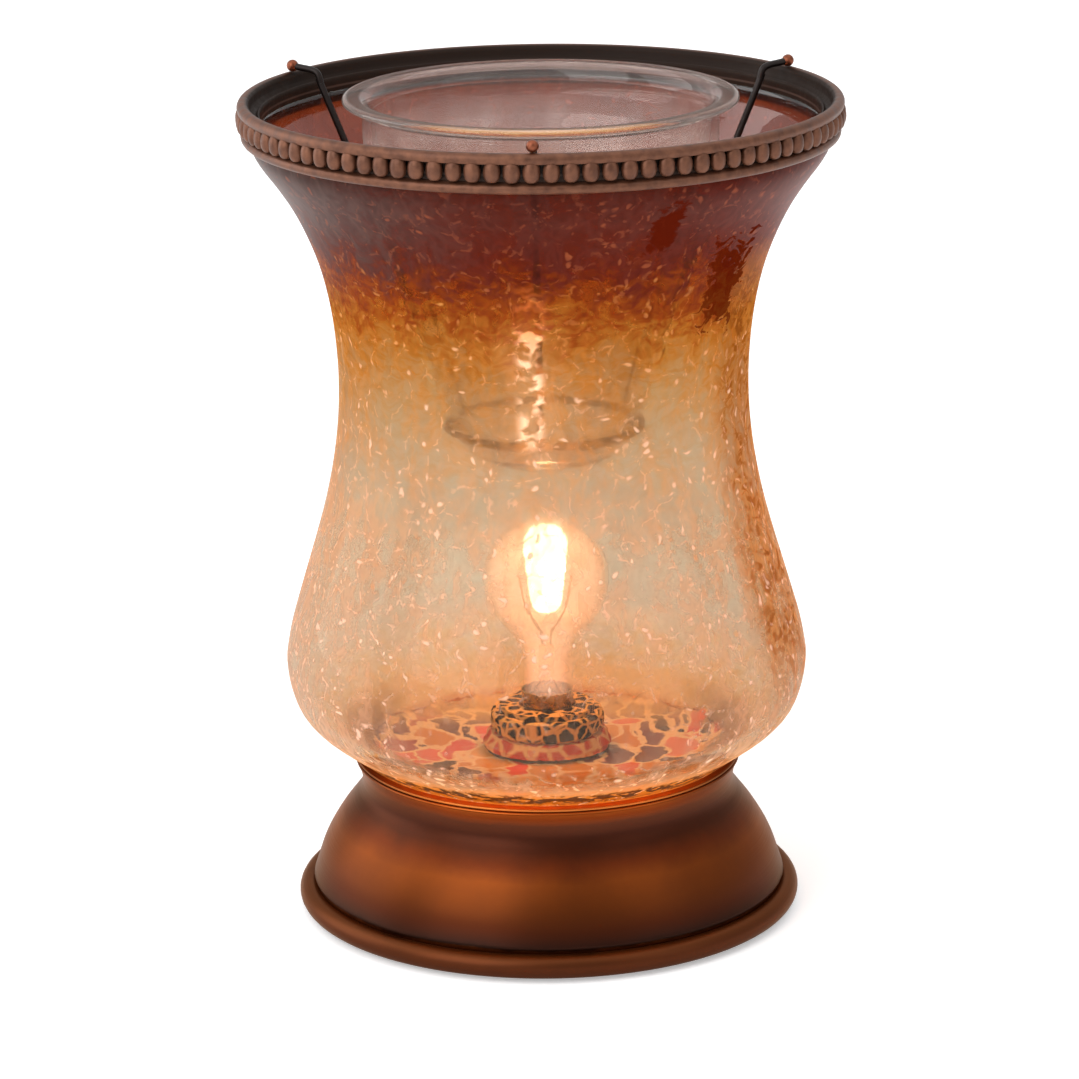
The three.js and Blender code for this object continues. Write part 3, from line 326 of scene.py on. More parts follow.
def amber_reflection_band(mat, wall):
    """A painted reflection: an amber band down the right side of the wall, with brown spots in it."""
    turn, starts, ends = -0.05, (185.0, 175.0), (52.0, 80.0)
    reflection_band = use(
        mat, "times", use(mat, "soft remap", away(mat, wall.angle, turn), 0.025, 0.06, *FALL),
        use(mat, "remap", wall.cloud, 0.3, 0.55, 0.35, 1.0), use(mat, "remap", wall.z, *ends),
        use(mat, "remap", wall.z, *starts),
    )
    return reflection_band, use(mat, "times", reflection_band, use(mat, "remap", wall.swirl, 0.46, 0.56))


def ragged_dark_patches(mat, wall):
    """Two ragged dark red-brown patches near the mouth."""

    def patch(turn, turn_reach, height, height_reach, ragged):
        sideways = use(mat, "over", away(mat, wall.angle, turn), turn_reach)
        upwards = use(mat, "over", away(mat, wall.z, height), height_reach)
        inside = use(
            mat, "plus", use(mat, "highest", sideways, upwards), use(mat, "times", wall.swirl, ragged),
        )
        return use(mat, "remap", inside, 0.9 + 0.5 * ragged, 1.1 + 0.5 * ragged, *FALL)

    small_patch = patch(-0.176, 0.009, 195.0, 6.0, 2.0)
    large_patch = patch(-0.107, 0.017, 175.0, 10.0, 3.0)
    return use(mat, "highest", small_patch, large_patch)


def stained_colours(mat, wall, level, reflection_band, reflection_flecks):
    """What the stain gives light that goes through, a crack's face, a crack lit from behind, and a painted
    glint.
    """
    stain = use(
        mat, "ramp", level,
        stops=(
            (0.0, "CC9C58"), (0.05, "DCAA70"), (0.11, "D6CDBE"), (0.5, "D2C8B4"), (0.66, "D0B082"),
            (0.74, "CC9448"), (0.8, "B0602A"), (0.85, "8A3A1A"), (1.0, "702C0E"),
        ),
    )
    # the painted reflection band down the right side tints the glass amber, with brown spots
    stain = use(mat, "mix", use(mat, "times", reflection_band, 0.8), stain, colour("C08028"))
    body = use(
        mat, "ramp", level,
        stops=(
            (0.0, "D48432"), (0.04, "D89C64"), (0.08, "D2B694"), (0.12, "CEAC92"), (0.5, "CC9A70"),
            (0.62, "CC8E4A"), (0.72, "C88438"), (0.79, "904A1E"), (0.86, "522826"), (1.0, "42302E"),
        ),
    )
    body = use(mat, "mix", use(mat, "times", reflection_band, 0.85), body, colour("C88038"))
    body = use(mat, "mix", use(mat, "times", reflection_flecks, 0.8), body, colour("7A4412"))
    behind = use(
        mat, "ramp", level,
        stops=(
            (0.0, "F08C38"), (0.07, "DCB48C"), (0.14, "D6A88A"), (0.6, "D4A474"), (0.72, "D08A3C"),
            (0.8, "A04A16"), (0.88, "802C0C"), (1.0, "782809"),
        ),
    )
    behind = use(mat, "mix", use(mat, "times", reflection_flecks, 0.8), behind, colour("8A4C18"))
    bright = use(
        mat, "ramp", level,
        stops=(
            (0.0, "FFC080"), (0.1, "FFE4D0"), (0.6, "FFE0C4"), (0.76, "E8A458"), (0.86, "A45C3C"),
            (1.0, "8C4C38"),
        ),
    )

    # painted reflection: the mouth is greyer on the left, as if it mirrored the pale room
    grey_turn = -0.43
    grey = use(mat, "soft remap", away(mat, wall.angle, grey_turn), 0.04, 0.16, 0.75, 0.0)
    grey = use(mat, "times", grey, use(mat, "remap", level, 0.8, 0.92))
    body = use(mat, "mix", grey, body, colour("56504C"))
    behind = use(mat, "mix", grey, behind, colour("5A3426"))
    return stain, body, behind, bright


def clear_wall(mat, wall, stain, bump):
    """The glass itself: clear in front of the floor and the lamp, satin above, clear again at the mouth."""
    satin_starts, satin_ends = (108.0, 130.0), (175.0, 150.0)
    satin = use(
        mat, "times", use(mat, "remap", wall.z, *satin_starts, 0.0, 0.6),
        use(mat, "remap", wall.z, *satin_ends),
    )
    bright_glass = use(mat, "glass", stain, SHADE_BEND, 0.0, bump)
    satin_glass = use(mat, "glass", stain, SHADE_BEND, 0.35, bump)
    return through(mat, use(mat, "mix shader", satin, bright_glass, satin_glass), stain)


def crack_cover(mat, wall, level, reflection_flecks, edge):
    """How much of the clear glass the cracks hide: little in front of the lamp, more towards the mouth."""
    crazed_above, crazed_below, crazed_beside = (70.0, 84.0), (58.0, 51.0), (30.0, 46.0)
    few = 0.2
    crazed = use(
        mat, "highest", use(mat, "remap", wall.z, *crazed_above, few, 1.0),
        use(mat, "remap", wall.z, *crazed_below, few, 1.0),
        use(mat, "remap", away(mat, wall.across), *crazed_beside, few, 1.0),
    )
    # the painted glints and the spots of the painted reflection band hide some glass too
    cover = use(
        mat, "plus", use(mat, "soft remap", wall.cloud, 0.4, 0.6, 0.02, 0.14),
        use(mat, "times", wall.net, 0.3), use(mat, "times", wall.arcs, 0.4),
        use(mat, "times", wall.specks, 0.8), use(mat, "times", reflection_flecks, 0.5),
    )

    # a wall seen edge-on shows more cracks one behind the other
    edge_on = use(mat, "times", use(mat, "power", edge, 3.0), 0.4)
    return use(
        mat, "plus", use(mat, "times", cover, crazed), edge_on,
        use(mat, "remap", level, 0.74, 0.88, 0.0, 0.45),
    )


def lamp_streak(mat, wall):
    """The lamp, smeared by the cracks into a broken streak over the front arm."""
    turn, starts, ends = -0.2597, (134.0, 142.0), (182.0, 168.0)
    aside = away(mat, wall.angle, turn)
    smear = use(
        mat, "times", use(mat, "soft remap", aside, 0.004, 0.014, *FALL),
        use(mat, "remap", wall.blobs, 0.46, 0.58),
    )
    streak = use(
        mat, "plus", use(mat, "times", smear, 0.85), use(mat, "soft remap", aside, 0.0, 0.034, 0.22, 0.0),
    )
    return use(
        mat, "times", streak,
        use(mat, "times", use(mat, "remap", wall.z, *starts), use(mat, "remap", wall.z, *ends)),
    )


def glowing_foot(mat, wall):
    """Where the foot of the shade glows over its seat, with a broken dark line; its colour and its share."""
    bottom, top, line_level = 40.0, 54.0, 0.36
    seat = use(mat, "plus", wall.z, use(mat, "remap", wall.grain, *WIDE_RANGE, -0.6, 0.6))
    seat = use(mat, "remap", seat, bottom, top)
    unrolled = {"X": use(mat, "times", wall.angle, 60.0), "Y": use(mat, "times", wall.z, 0.5)}
    dashes = use(mat, "noise", node(mat, "CombineXYZ", unrolled).outputs[0], 1.4)
    dashes = use(mat, "remap", dashes, 0.44, 0.5)
    dashes = use(mat, "times", dashes, use(mat, "remap", away(mat, seat, line_level), 0.08, 0.16, *FALL))
    foot = use(
        mat, "ramp", seat,
        stops=(
            (0.0, "96480C"), (0.14, "DC8430"), (0.22, "B45C10"), (0.42, "CC7C2C"), (0.6, "ECAA6C"),
            (1.0, "F4C8A4"),
        ),
    )
    foot = use(mat, "mix", use(mat, "times", wall.arcs, 0.7), foot, colour("FFD0A0"))
    foot = use(
        mat, "mix", use(mat, "times", dashes, use(mat, "remap", wall.depth, -12.0, -28.0)), foot,
        colour("3A1C08"),
    )
    # painted light: the foot is paler towards the back
    foot = use(mat, "mix", use(mat, "remap", wall.depth, -15.0, 20.0, 0.0, 0.85), foot, colour("F0BC84"))
    # painted shade: the foot is darker at both sides, where its glass is seen edge-on
    sides = use(mat, "remap", away(mat, wall.across), 36.0, 48.0, 0.0, 0.7)
    foot = use(
        mat, "mix", use(mat, "times", sides, use(mat, "remap", seat, 0.7, 0.3)), foot, colour("6A3412"),
    )
    return foot, use(mat, "remap", seat, 0.45, 0.95, 0.9, 0.0)


def crackle_glass():
    """Blown glass crackled in water, then stained: plum-brown at the mouth, amber below, straw further down.

    The cracks are small mirrors inside the wall: they part clear plates a few millimetres across by a soft,
    lamp-coloured net, with brighter arcs in it. The bright specks are painted glints of the lamp.
    """
    mat = material("crackle_glass")
    wall = crackled_wall(mat)
    level = stain_level(mat, wall)
    reflection_band, reflection_flecks = amber_reflection_band(mat, wall)
    dark_patches = ragged_dark_patches(mat, wall)
    stain, body, behind, bright = stained_colours(mat, wall, level, reflection_band, reflection_flecks)
    bump = use(mat, "bump", wall.cloud, use(mat, "remap", wall.z, 105.0, 145.0, 0.08, 0.45), 0.0006)
    clear = clear_wall(mat, wall, stain, bump)

    edge = node(mat, "LayerWeight", {"Blend": 0.5}).outputs["Facing"]
    cover = crack_cover(mat, wall, level, reflection_flecks, edge)
    cover = use(mat, "highest", cover, use(mat, "times", dark_patches, 0.95))
    albedo = use(
        mat, "mix", use(mat, "highest", wall.specks, use(mat, "times", wall.arcs, 0.5)), body, bright,
    )
    albedo = use(mat, "mix", use(mat, "times", dark_patches, 0.9), albedo, colour("6A1804"))
    behind = use(mat, "mix", use(mat, "times", dark_patches, 0.9), behind, colour("3A1206"))
    streak = lamp_streak(mat, wall)
    cover = use(mat, "plus", cover, use(mat, "times", streak, 0.7))
    smeared = use(mat, "mix", use(mat, "remap", wall.z, 172.0, 160.0), colour("FF8A40"), colour("FFDCC0"))

    # the far wall low down is lit evenly, and the foot glows all round
    far = use(mat, "times", use(mat, "remap", wall.depth, -15.0, 15.0), use(mat, "remap", wall.z, 70.0, 58.0))
    albedo = use(
        mat, "mix", use(mat, "times", far, use(mat, "minus", 0.9, wall.net)), albedo, colour("F6E0C8"),
    )
    behind = use(mat, "mix", far, behind, colour("F0C8A0"))
    foot, rooted = glowing_foot(mat, wall)
    albedo = use(mat, "mix", rooted, albedo, foot)
    cover = use(mat, "highest", cover, use(mat, "times", far, 0.55), rooted)
    cover = use(mat, "times, at most 1", cover, 1.0)

    scatter = scatter_shader(mat, 0.5, albedo, use(mat, "mix", rooted, behind, foot))
    lamplight = use(mat, "mix", use(mat, "remap", wall.z, 90.0, 100.0), foot, smeared)
    strength = use(
        mat, "plus", use(mat, "remap", wall.z, 43.0, 62.0, 0.3, 0.0), use(mat, "times", streak, 0.9),
    )
    lamplight = node(mat, "Emission", {"Color": lamplight, "Strength": strength}).outputs[0]
    scatter = node(mat, "AddShader", {0: scatter, 1: lamplight}).outputs[0]
    whole = use(mat, "mix shader", cover, clear, scatter)

    # the mouth is satin: grey where it turns away
    satin_gloss = node(mat, "BsdfGlossy", {"Color": WHITE, "Roughness": 0.4, "Normal": bump}).outputs[0]
    sheen = use(
        mat, "times", use(mat, "power", edge, 4.0), use(mat, "remap", wall.z, 165.0, 195.0, 0.0, 0.26),
    )
    sheen = use(mat, "times", sheen, use(mat, "minus", 1.0, dark_patches))
    return output(mat, use(mat, "mix shader", sheen, whole, satin_gloss))


def glass_inside():
    """The inside face of the shade: clear and wavy, with a thin sheen."""
    mat = material("glass_inside")
    wave = use(mat, "noise", place(mat), 0.16, 3.0)
    bump = use(mat, "bump", wave, 0.08, 0.0006)
    sheen = node(mat, "BsdfGlossy", {"Color": WHITE, "Roughness": 0.25, "Normal": bump}).outputs[0]
    glass = use(mat, "glass", WHITE, SHADE_BEND, 0.0, bump)
    return output(mat, use(mat, "mix shader", 0.03, through(mat, glass, WHITE), sheen))


def glass_floor():
    """The floor of the shade, where the cracks part the stain into plates of coral, mauve, brown and gold."""
    plate, fade_start, fade_end = 7.0, 43.0, 50.0
    mat = material("glass_floor")
    here = place(mat)
    drift = node(mat, "TexNoise", {"Vector": here, "Scale": 0.08, "Detail": 2.0}).outputs["Color"]
    drift = node(mat, "VectorMath", {0: drift, "Scale": 200.0}, operation="SCALE").outputs[0]
    spot = use(mat, "stretch", use(mat, "mix", 0.06, here, drift), (1.0, 0.45, 1.0))
    cells = node(mat, "TexVoronoi", {"Vector": spot, "Scale": 1 / plate})
    cracks = use(mat, "cracks", spot, 1 / plate)
    pick = node(mat, "SeparateColor", {0: cells.outputs["Color"]}).outputs[0]
    plates = use(
        mat, "ramp", pick,
        stops=(
            (0.0, "28141A"), (0.2, "5E3034"), (0.48, "7E4640"), (0.58, "E44C38"), (0.68, "E07048"),
            (0.74, "D07C2C"), (1.0, "E09848"),
        ),
    )
    base = use(mat, "mix", use(mat, "soft remap", cracks, 0.03, 0.12, *FALL), plates, colour("F0BC84"))

    # paler towards the wall, where the floor fades into clear glass, and painted lamplight makes it golden
    # behind the lamp
    ragged = use(mat, "remap", use(mat, "noise", here, 0.2, 3.0), *WIDE_RANGE, -3.0, 3.0)
    reach = use(mat, "plus", polar(mat)[0], ragged)
    base = use(mat, "mix", use(mat, "remap", reach, fade_start, fade_end, 0.0, 0.8), base, colour("F0C49C"))
    depth = node(mat, "SeparateXYZ", {0: here}).outputs[1]
    base = use(mat, "mix", use(mat, "remap", depth, 12.0, 32.0, 0.0, 0.6), base, colour("FFC880"))
    inputs = {"Base Color": base, "Roughness": 0.25, "Normal": use(mat, "bump", cracks, 0.3, 0.0008)}
    # painted glow: the floor gives off a faint light in its own colours
    inputs.update({"Emission Color": base, "Emission Strength": 0.17})
    painted = node(mat, "BsdfPrincipled", inputs).outputs[0]
    clear = through(mat, use(mat, "glass", WHITE, SHADE_BEND), WHITE)
    cover = use(mat, "soft remap", reach, fade_start - 2.0, fade_end, 0.94, 0.0)
    return output(mat, use(mat, "mix shader", cover, clear, painted))


def crack_reflection_finish(name, plates, lines, size):
    """Matt lacquer with a painted reflection of the net of cracks around it, as lines between plates."""
    mat = material(name)
    line = use(mat, "soft remap", use(mat, "cracks", place(mat), 1 / size), 0.04, 0.19, *FALL)
    inputs = {"Base Color": use(mat, "mix", line, colour(plates), colour(lines)), "Roughness": 0.6}
    inputs.update({"Specular IOR Level": 0.0, "Metallic": use(mat, "times", line, 0.3)})
    return output(mat, node(mat, "BsdfPrincipled", inputs).outputs[0])


def dish_glass():
    """Clear glass with a painted white reflection high inside, a greyer edge, and a lip that shows as a pale
    line.
    """
    reflection_low, reflection_high, reflection_end = 184.0, 196.0, 210.0
    lip_middle, lip_low, lip_high = 48.0, 211.0, 215.0
    clean = colour("FBF8F6")
    mat = material("dish_glass")
    radius, _, z = polar(mat)
    wave = use(mat, "noise", place(mat), 0.06)
    edge = node(mat, "LayerWeight", {"Blend": 0.5}).outputs["Facing"]
    tint = use(mat, "mix", use(mat, "times", use(mat, "power", edge, 6.0), 0.6), clean, colour("BDB6B2"))
    lip = use(mat, "remap", away(mat, radius, lip_middle), 1.2, 2.0, *FALL)
    lip = use(mat, "times", lip, use(mat, "remap", z, lip_low, lip_high))
    tint = use(mat, "mix", lip, tint, colour("A89C96"))
    clear = through(mat, use(mat, "glass", tint, DISH_BEND, 0.0, use(mat, "bump", wave, 0.05, 0.001)), tint)
    open_glass = node(mat, "BsdfTransparent", {"Color": clean}).outputs[0]
    clear = use(mat, "mix shader", use(mat, "times", lip, 0.4), clear, open_glass)
    reflection_streaks = use(
        mat, "remap", use(mat, "noise", place(mat, (1000, 1000, 300)), 0.12, 4.0), *NOISE_RANGE, 0.06, 0.2,
    )
    # painted reflection: a streaky white haze high up inside stands for the white room mirrored there
    white_reflection = use(
        mat, "times", use(mat, "remap", z, reflection_low, reflection_high),
        use(mat, "remap", z, reflection_end, reflection_end - 8.0),
    )
    amount = use(mat, "remap", wave, *WIDE_RANGE, HAZE * 0.7, HAZE * 1.3)
    amount = use(mat, "plus", amount, use(mat, "times", white_reflection, reflection_streaks))
    return output(mat, use(mat, "mix shader", amount, clear, scatter_shader(mat, 0.5, WHITE, WHITE)))


def stem_glass():
    """Clear pinched glass with a little haze that catches the lamp."""
    tint = colour("FFF6EE")
    mat = material("lamp_glass")
    wave = use(mat, "noise", place(mat), 0.06)
    clear = through(mat, use(mat, "glass", tint, STEM_BEND), tint)
    amount = use(mat, "remap", wave, *WIDE_RANGE, HAZE * 0.7, HAZE * 1.3)
    return output(mat, use(mat, "mix shader", amount, clear, scatter_shader(mat, 0.5, WHITE, WHITE)))


def globe_glass():
    """Thin clear lamp glass that blooms round the lit coil, most where it is looked straight through."""
    glass_tint, bloom_tint = colour("FFF8F2"), colour("FFE6D8")
    mat = material("lamp_globe_glass")
    wave = use(mat, "noise", place(mat), 0.1)
    middle = use(mat, "minus", 1.0, node(mat, "LayerWeight", {"Blend": 0.4}).outputs["Facing"])
    amount = use(
        mat, "times", use(mat, "power", middle, 1.3), use(mat, "remap", wave, *WIDE_RANGE, 0.03, 0.04),
    )
    clear = through(mat, use(mat, "glass", glass_tint, GLOBE_BEND), glass_tint)
    whole = use(mat, "mix shader", amount, clear, scatter_shader(mat, 0.6, bloom_tint, bloom_tint))
    low_down = use(mat, "remap", polar(mat)[2], 80.0, 70.0, 0.14, 0.23)
    strength = use(mat, "times", use(mat, "power", middle, 1.5), low_down)
    lit = node(mat, "Emission", {"Color": colour("FFE4D6"), "Strength": strength}).outputs[0]
    return output(mat, node(mat, "AddShader", {0: whole, 1: lit}).outputs[0])


def glow(name, code, strength, cover=1.0):
    """The lit filament, and the light that blooms round it."""
    mat = material(name)
    light = node(mat, "Emission", {"Color": colour(code), "Strength": strength}).outputs[0]
    if cover < 1:
        light = use(
            mat, "mix shader", cover, node(mat, "BsdfTransparent", {"Color": WHITE}).outputs[0], light,
        )
    return output(mat, light)


BRONZE = spun_bronze()
RIM = antique_bronze()
CRACKLE = crackle_glass()
INSIDE = glass_inside()
FLOOR = glass_floor()
DISH = dish_glass()
GLOBE = globe_glass()
LAMP_GLASS = stem_glass()
WIRE = lamplit_wire()
# nearly black plates between gold lines, and coral plates between pale ones; the lines are painted
# reflections
COLLAR = crack_reflection_finish("black_resin_crack_reflection", "180C05", "E8B060", 3.3)
CUP = crack_reflection_finish("coral_lacquer_crack_reflection", "D0503C", "F0B880", 5.0)
# warm dull copper, as if rubbed by fingers
TIP = plain("copper_tip", "6E3C28", 0.35, 0.8, grain=0.9, code_2="8A4C34")
# hard black moulding with a soft shine
PHENOLIC = plain("black_phenolic", "14100E", 0.35, grain=0.6, code_2="1E1916", coat=0.2)
# matt black with a fine grain
RUBBER = plain("soft_rubber", "121212", 0.75, grain=1.4, code_2="1C1C1C", strength=0.35)
# brown and rough, without any shine
FELT = plain("gasket_felt", "2E2621", 0.9, grain=2.0, code_2="4A3E36", strength=0.6)
# pale grey metal with soft, cloudy reflections
STEEL = plain("zinc_plated_steel", "9C9FA2", 0.34, 0.9, grain=0.2, code_2="B4B6B8")
# yellow metal with clear reflections
BRASS = plain("bright_brass", "A8813C", 0.28, 0.95, grain=0.5, code_2="C09A52")
# pale, slightly warm silver
NICKEL = plain("nickel_plate", "B8B4AC", 0.25, 0.95, grain=0.5, code_2="CCC8C0")
# smooth ivory and black plastic, half matt
WHITE_WIRE = plain("white_insulation", "DAD6CC", 0.5, grain=1.2, code_2="E8E4DC")
BLACK_WIRE = plain("black_insulation", "1A1817", 0.5, grain=1.2, code_2="262321")
# white-hot coil, and the leads that glow orange beside it
FILAMENT = glow("filament_light", "FFF6E6", 30.0)
LIT_LEAD = glow("lit_nickel_lead", "FFC89C", 0.9)


# Shapes
def mesh_object(name, vertices, faces, mat, sharp=40):
    """A smooth-shaded mesh from millimetre points, with edges over an angle kept sharp."""
    mesh = bpy.data.meshes.new(name)
    mesh.from_pydata([tuple(c * MM for c in v) for v in vertices], [], faces)
    mesh.validate()
    mesh.polygons.foreach_set("use_smooth", [True] * len(mesh.polygons))
    mesh.set_sharp_from_angle(angle=math.radians(sharp))
    mesh.materials.append(mat)
    made = bpy.data.objects.new(name, mesh)
    bpy.context.scene.collection.objects.link(made)
    return made


def smooth(points, steps=6):
    """A curve through the points (Catmull-Rom), with the corners kept at the two ends."""
    out = []
    last = len(points) - 1
    for i in range(last):
        p0, p1, p2, p3 = points[max(i - 1, 0)], points[i], points[i + 1], points[min(i + 2, last)]
        for k in range(steps):
            t = k / steps
            point = []
            for a, b, c, d in zip(p0, p1, p2, p3):
                curve = 2 * b + (c - a) * t + (2 * a - 5 * b + 4 * c - d) * t * t
                point.append(0.5 * (curve + (3 * b - a - 3 * c + d) * t * t * t))
            out.append(tuple(point))
    return out + [points[-1]]


def arc(centre, radius, start, end, steps=8):
    """Points on a circle in the (radius, height) plane; angles in degrees from outwards, upwards positive."""
    out = []
    for k in range(steps + 1):
        a = math.radians(start + (end - start) * k / steps)
        out.append((centre[0] + radius * math.cos(a), centre[1] + radius * math.sin(a)))
    return out


def inset(points, wall):
    """The same curve moved to the left of its direction by a wall."""
    out = []
    for i, (r, z) in enumerate(points):
        r0, z0 = points[max(i - 1, 0)]
        r1, z1 = points[min(i + 1, len(points) - 1)]
        length = math.hypot(r1 - r0, z1 - z0)
        out.append((max(r - (z1 - z0) / length * wall, 0.0), z + (r1 - r0) / length * wall))
    return out


def circle(radius, z, sides):
    """Points round the axis at one height."""
    turns = [2 * math.pi * k / sides for k in range(sides)]
    return [(radius * math.cos(a), radius * math.sin(a), z) for a in turns]


def lathe(name, outline, mat, sides=160):
    """A closed solid turned about Z from an outline of (radius, height) points."""
    points = [p for i, p in enumerate(outline) if i == 0 or math.dist(p, outline[i - 1]) > 1e-4]
    on_axis = 1e-6
    vertices, rings = [], []
    for r, z in points:
        if r < on_axis:
            rings.append([len(vertices)] * sides)
            vertices.append((0, 0, z))
        else:
            rings.append(list(range(len(vertices), len(vertices) + sides)))
            vertices += circle(r, z, sides)
    pairs = list(zip(rings, rings[1:]))
    if points[0][0] >= on_axis:
        pairs.append((rings[-1], rings[0]))
    faces = []
    for low, high in pairs:
        for k in range(sides):
            n = (k + 1) % sides
            corners = [low[k], low[n], high[n], high[k]]
            face = [v for i, v in enumerate(corners) if v not in corners[:i]]
            if len(face) > 2:
                faces.append(face)
    return mesh_object(name, vertices, faces, mat)


def tube(name, points, radius, mat, sides=14, closed=False):
    """A round wire along points, which turns with the path without twisting."""
    points = [Vector(p) for p in points]
    count = len(points)
    vertices, faces = [], []
    normal = None
    for i, p in enumerate(points):
        before = points[(i - 1) % count] if closed else points[max(i - 1, 0)]
        after = points[(i + 1) % count] if closed else points[min(i + 1, count - 1)]
        along = (after - before).normalized()
        if normal is None:
            normal = along.orthogonal().normalized()
        normal = (normal - along * normal.dot(along)).normalized()
        side = along.cross(normal)
        for k in range(sides):
            a = 2 * math.pi * k / sides
            vertices.append(tuple(p + (normal * math.cos(a) + side * math.sin(a)) * radius))
    for i in range(count if closed else count - 1):
        n = (i + 1) % count
        for k in range(sides):
            m = (k + 1) % sides
            faces.append([i * sides + k, i * sides + m, n * sides + m, n * sides + k])
    if not closed:
        faces.append(list(range(sides))[::-1])
        faces.append([(count - 1) * sides + k for k in range(sides)])
    return mesh_object(name, vertices, faces, mat, 50)


def ball(radii, columns=16, rows=10, fullness=1.0):
    """Vertices and faces of an ellipsoid round the origin, squarer where fullness is under 1."""
    vertices = [(0.0, 0.0, -radii[2])]
    rings = []
    for i in range(1, rows):
        v = math.pi * i / rows
        girth = math.sin(v) ** fullness
        rings.append([len(vertices) + k for k in range(columns)])
        for k in range(columns):
            u = 2 * math.pi * k / columns
            x, y = radii[0] * girth * math.cos(u), radii[1] * girth * math.sin(u)
            vertices.append((x, y, -radii[2] * math.cos(v)))
    top = len(vertices)
    vertices.append((0.0, 0.0, radii[2]))
    faces = []
    for k in range(columns):
        n = (k + 1) % columns
        faces.append([0, rings[0][n], rings[0][k]])
        faces += [[low[k], low[n], high[n], high[k]] for low, high in zip(rings, rings[1:])]
        faces.append([rings[-1][k], rings[-1][n], top])
    return vertices, faces


def stand_in(piece, body, slot, *nodes):
    """Says which body a piece rides on and what it replaces; the slot argument is not used."""
    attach(piece, body)
    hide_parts(*nodes)


def dress(mat, *names):
    """Gives carried-over CAD nodes their finish."""
    for name in names:
        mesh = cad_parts[name].data
        mesh.materials.clear()
        mesh.materials.append(mat)


# Base
SHELL_WALL = 1.2
INLET_CENTRE, INLET_RADIUS = (0, 60.3, 15), 5.2
FOOT_ROLL_CENTRE, FOOT_ROLL_RADIUS = (63.4, 3.9), 3.1
LIP_CENTRE, LIP_RADIUS = (50.35, 40.25), 0.45
foot_roll = arc(FOOT_ROLL_CENTRE, FOOT_ROLL_RADIUS, -130, 118, 18)
BASE_SIDE = smooth(
    [(62.6, 8.3), (61.35, 12.0), (60.0, 16.0), (58.1, 20.0), (55.0, 25.0), (51.6, 29.4), (49.8, 32.0),
     (49.2, 34.5), (49.6, 37.5), (50.6, 40.0)],
)
base_lip = arc(LIP_CENTRE, LIP_RADIUS, 0, 150, 5)
base_inside = inset(BASE_SIDE, SHELL_WALL)[::-1]
base_outline = foot_roll + [(62.3, 7.4)] + BASE_SIDE + base_lip + base_inside + [(61.2, 2.0)]
base_shell = lathe("base_shell_body", base_outline, BRONZE, 192)

# the opening for the cord inlet, its edge hidden under the bush's flanges
inlet = Vector(INLET_CENTRE) * MM
opened = bmesh.new()
opened.from_mesh(base_shell.data)
gone = [face for face in opened.faces if (face.calc_center_median() - inlet).length < INLET_RADIUS * MM]
bmesh.ops.delete(opened, geom=gone, context="FACES")
bmesh.ops.bridge_loops(opened, edges=[edge for edge in opened.edges if edge.is_boundary])
opened.to_mesh(base_shell.data)
opened.free()
stand_in(base_shell, "base", "base_finish", "base_shell")

PAN_BOTTOM, PAN_TOP, PAN_HOLE = 35.2, 36.0, 12.9
PAN_ROLL_HEIGHT, PAN_ROLL = 41.3, 0.4
pan = (
    [(PAN_HOLE, PAN_BOTTOM), (47.7, PAN_BOTTOM), (47.7, PAN_ROLL_HEIGHT - PAN_ROLL)]
    + arc((50.3, PAN_ROLL_HEIGHT), PAN_ROLL, -90, 90, 6)
    + [(47.5, PAN_ROLL_HEIGHT + PAN_ROLL)]
    + arc((47.3, PAN_ROLL_HEIGHT), PAN_ROLL, 90, 180, 3)
    + [(46.9, PAN_TOP), (PAN_HOLE, PAN_TOP)]
)
stand_in(lathe("shade_pan_body", pan, BRONZE), "base", "base_finish", "shade_pan")

# Shade
SHADE_BOTTOM, SHADE_FLOOR, SHADE_HOLE, SHADE_WALL = 38.0, 41.0, 14.0, 3.0
FLOOR_EDGE, FIRST_INSIDE, LAST_INSIDE = 43.0, 12, -4
FLOOR_BELOW, UPWARDS_BELOW, INWARDS_BEYOND = 50.0, 60.0, 20.0
SHADE_SEAT = [(44.0, 37.7), (45.9, 39.3), (46.4, 41.2)]
SHADE_UNDERSIDE = [(48.8, 42.0), (52.0, 44.3), (56.0, 47.2), (61.5, 51.4), (65.4, 56.0), (67.6, 62.0)]
SHADE_SIDE = [
    (68.4, 68.0), (68.0, 72.0), (66.8, 78.0), (64.8, 85.0), (62.4, 93.0), (59.7, 102.0), (57.0, 112.0),
    (54.8, 123.0), (53.5, 134.0), (53.2, 145.0), (53.9, 156.0), (55.4, 166.0), (57.7, 175.0), (60.8, 183.0),
    (64.3, 190.0), (68.2, 196.0), (71.9, 201.0), (73.9, 204.5), (74.2, 207.5), (74.1, 209.0),
]
shade_outside = smooth(SHADE_SEAT + SHADE_UNDERSIDE + SHADE_SIDE, 3)
shade_inside = inset(shade_outside, SHADE_WALL)[FIRST_INSIDE:LAST_INSIDE][::-1]
shade_outline = (
    [(SHADE_HOLE, SHADE_BOTTOM), (FLOOR_EDGE, SHADE_BOTTOM)]
    + shade_outside
    + arc((72.6, 209.0), SHADE_WALL / 2, 0, 180, 6)
    + [(71.1, 208.0)]
    + shade_inside
    + [(FLOOR_EDGE, SHADE_FLOOR), (SHADE_HOLE, SHADE_FLOOR)]
)
shade = lathe("shade_crackle_glass", shade_outline, CRACKLE, 192)
shade.data.materials.append(INSIDE)
shade.data.materials.append(FLOOR)
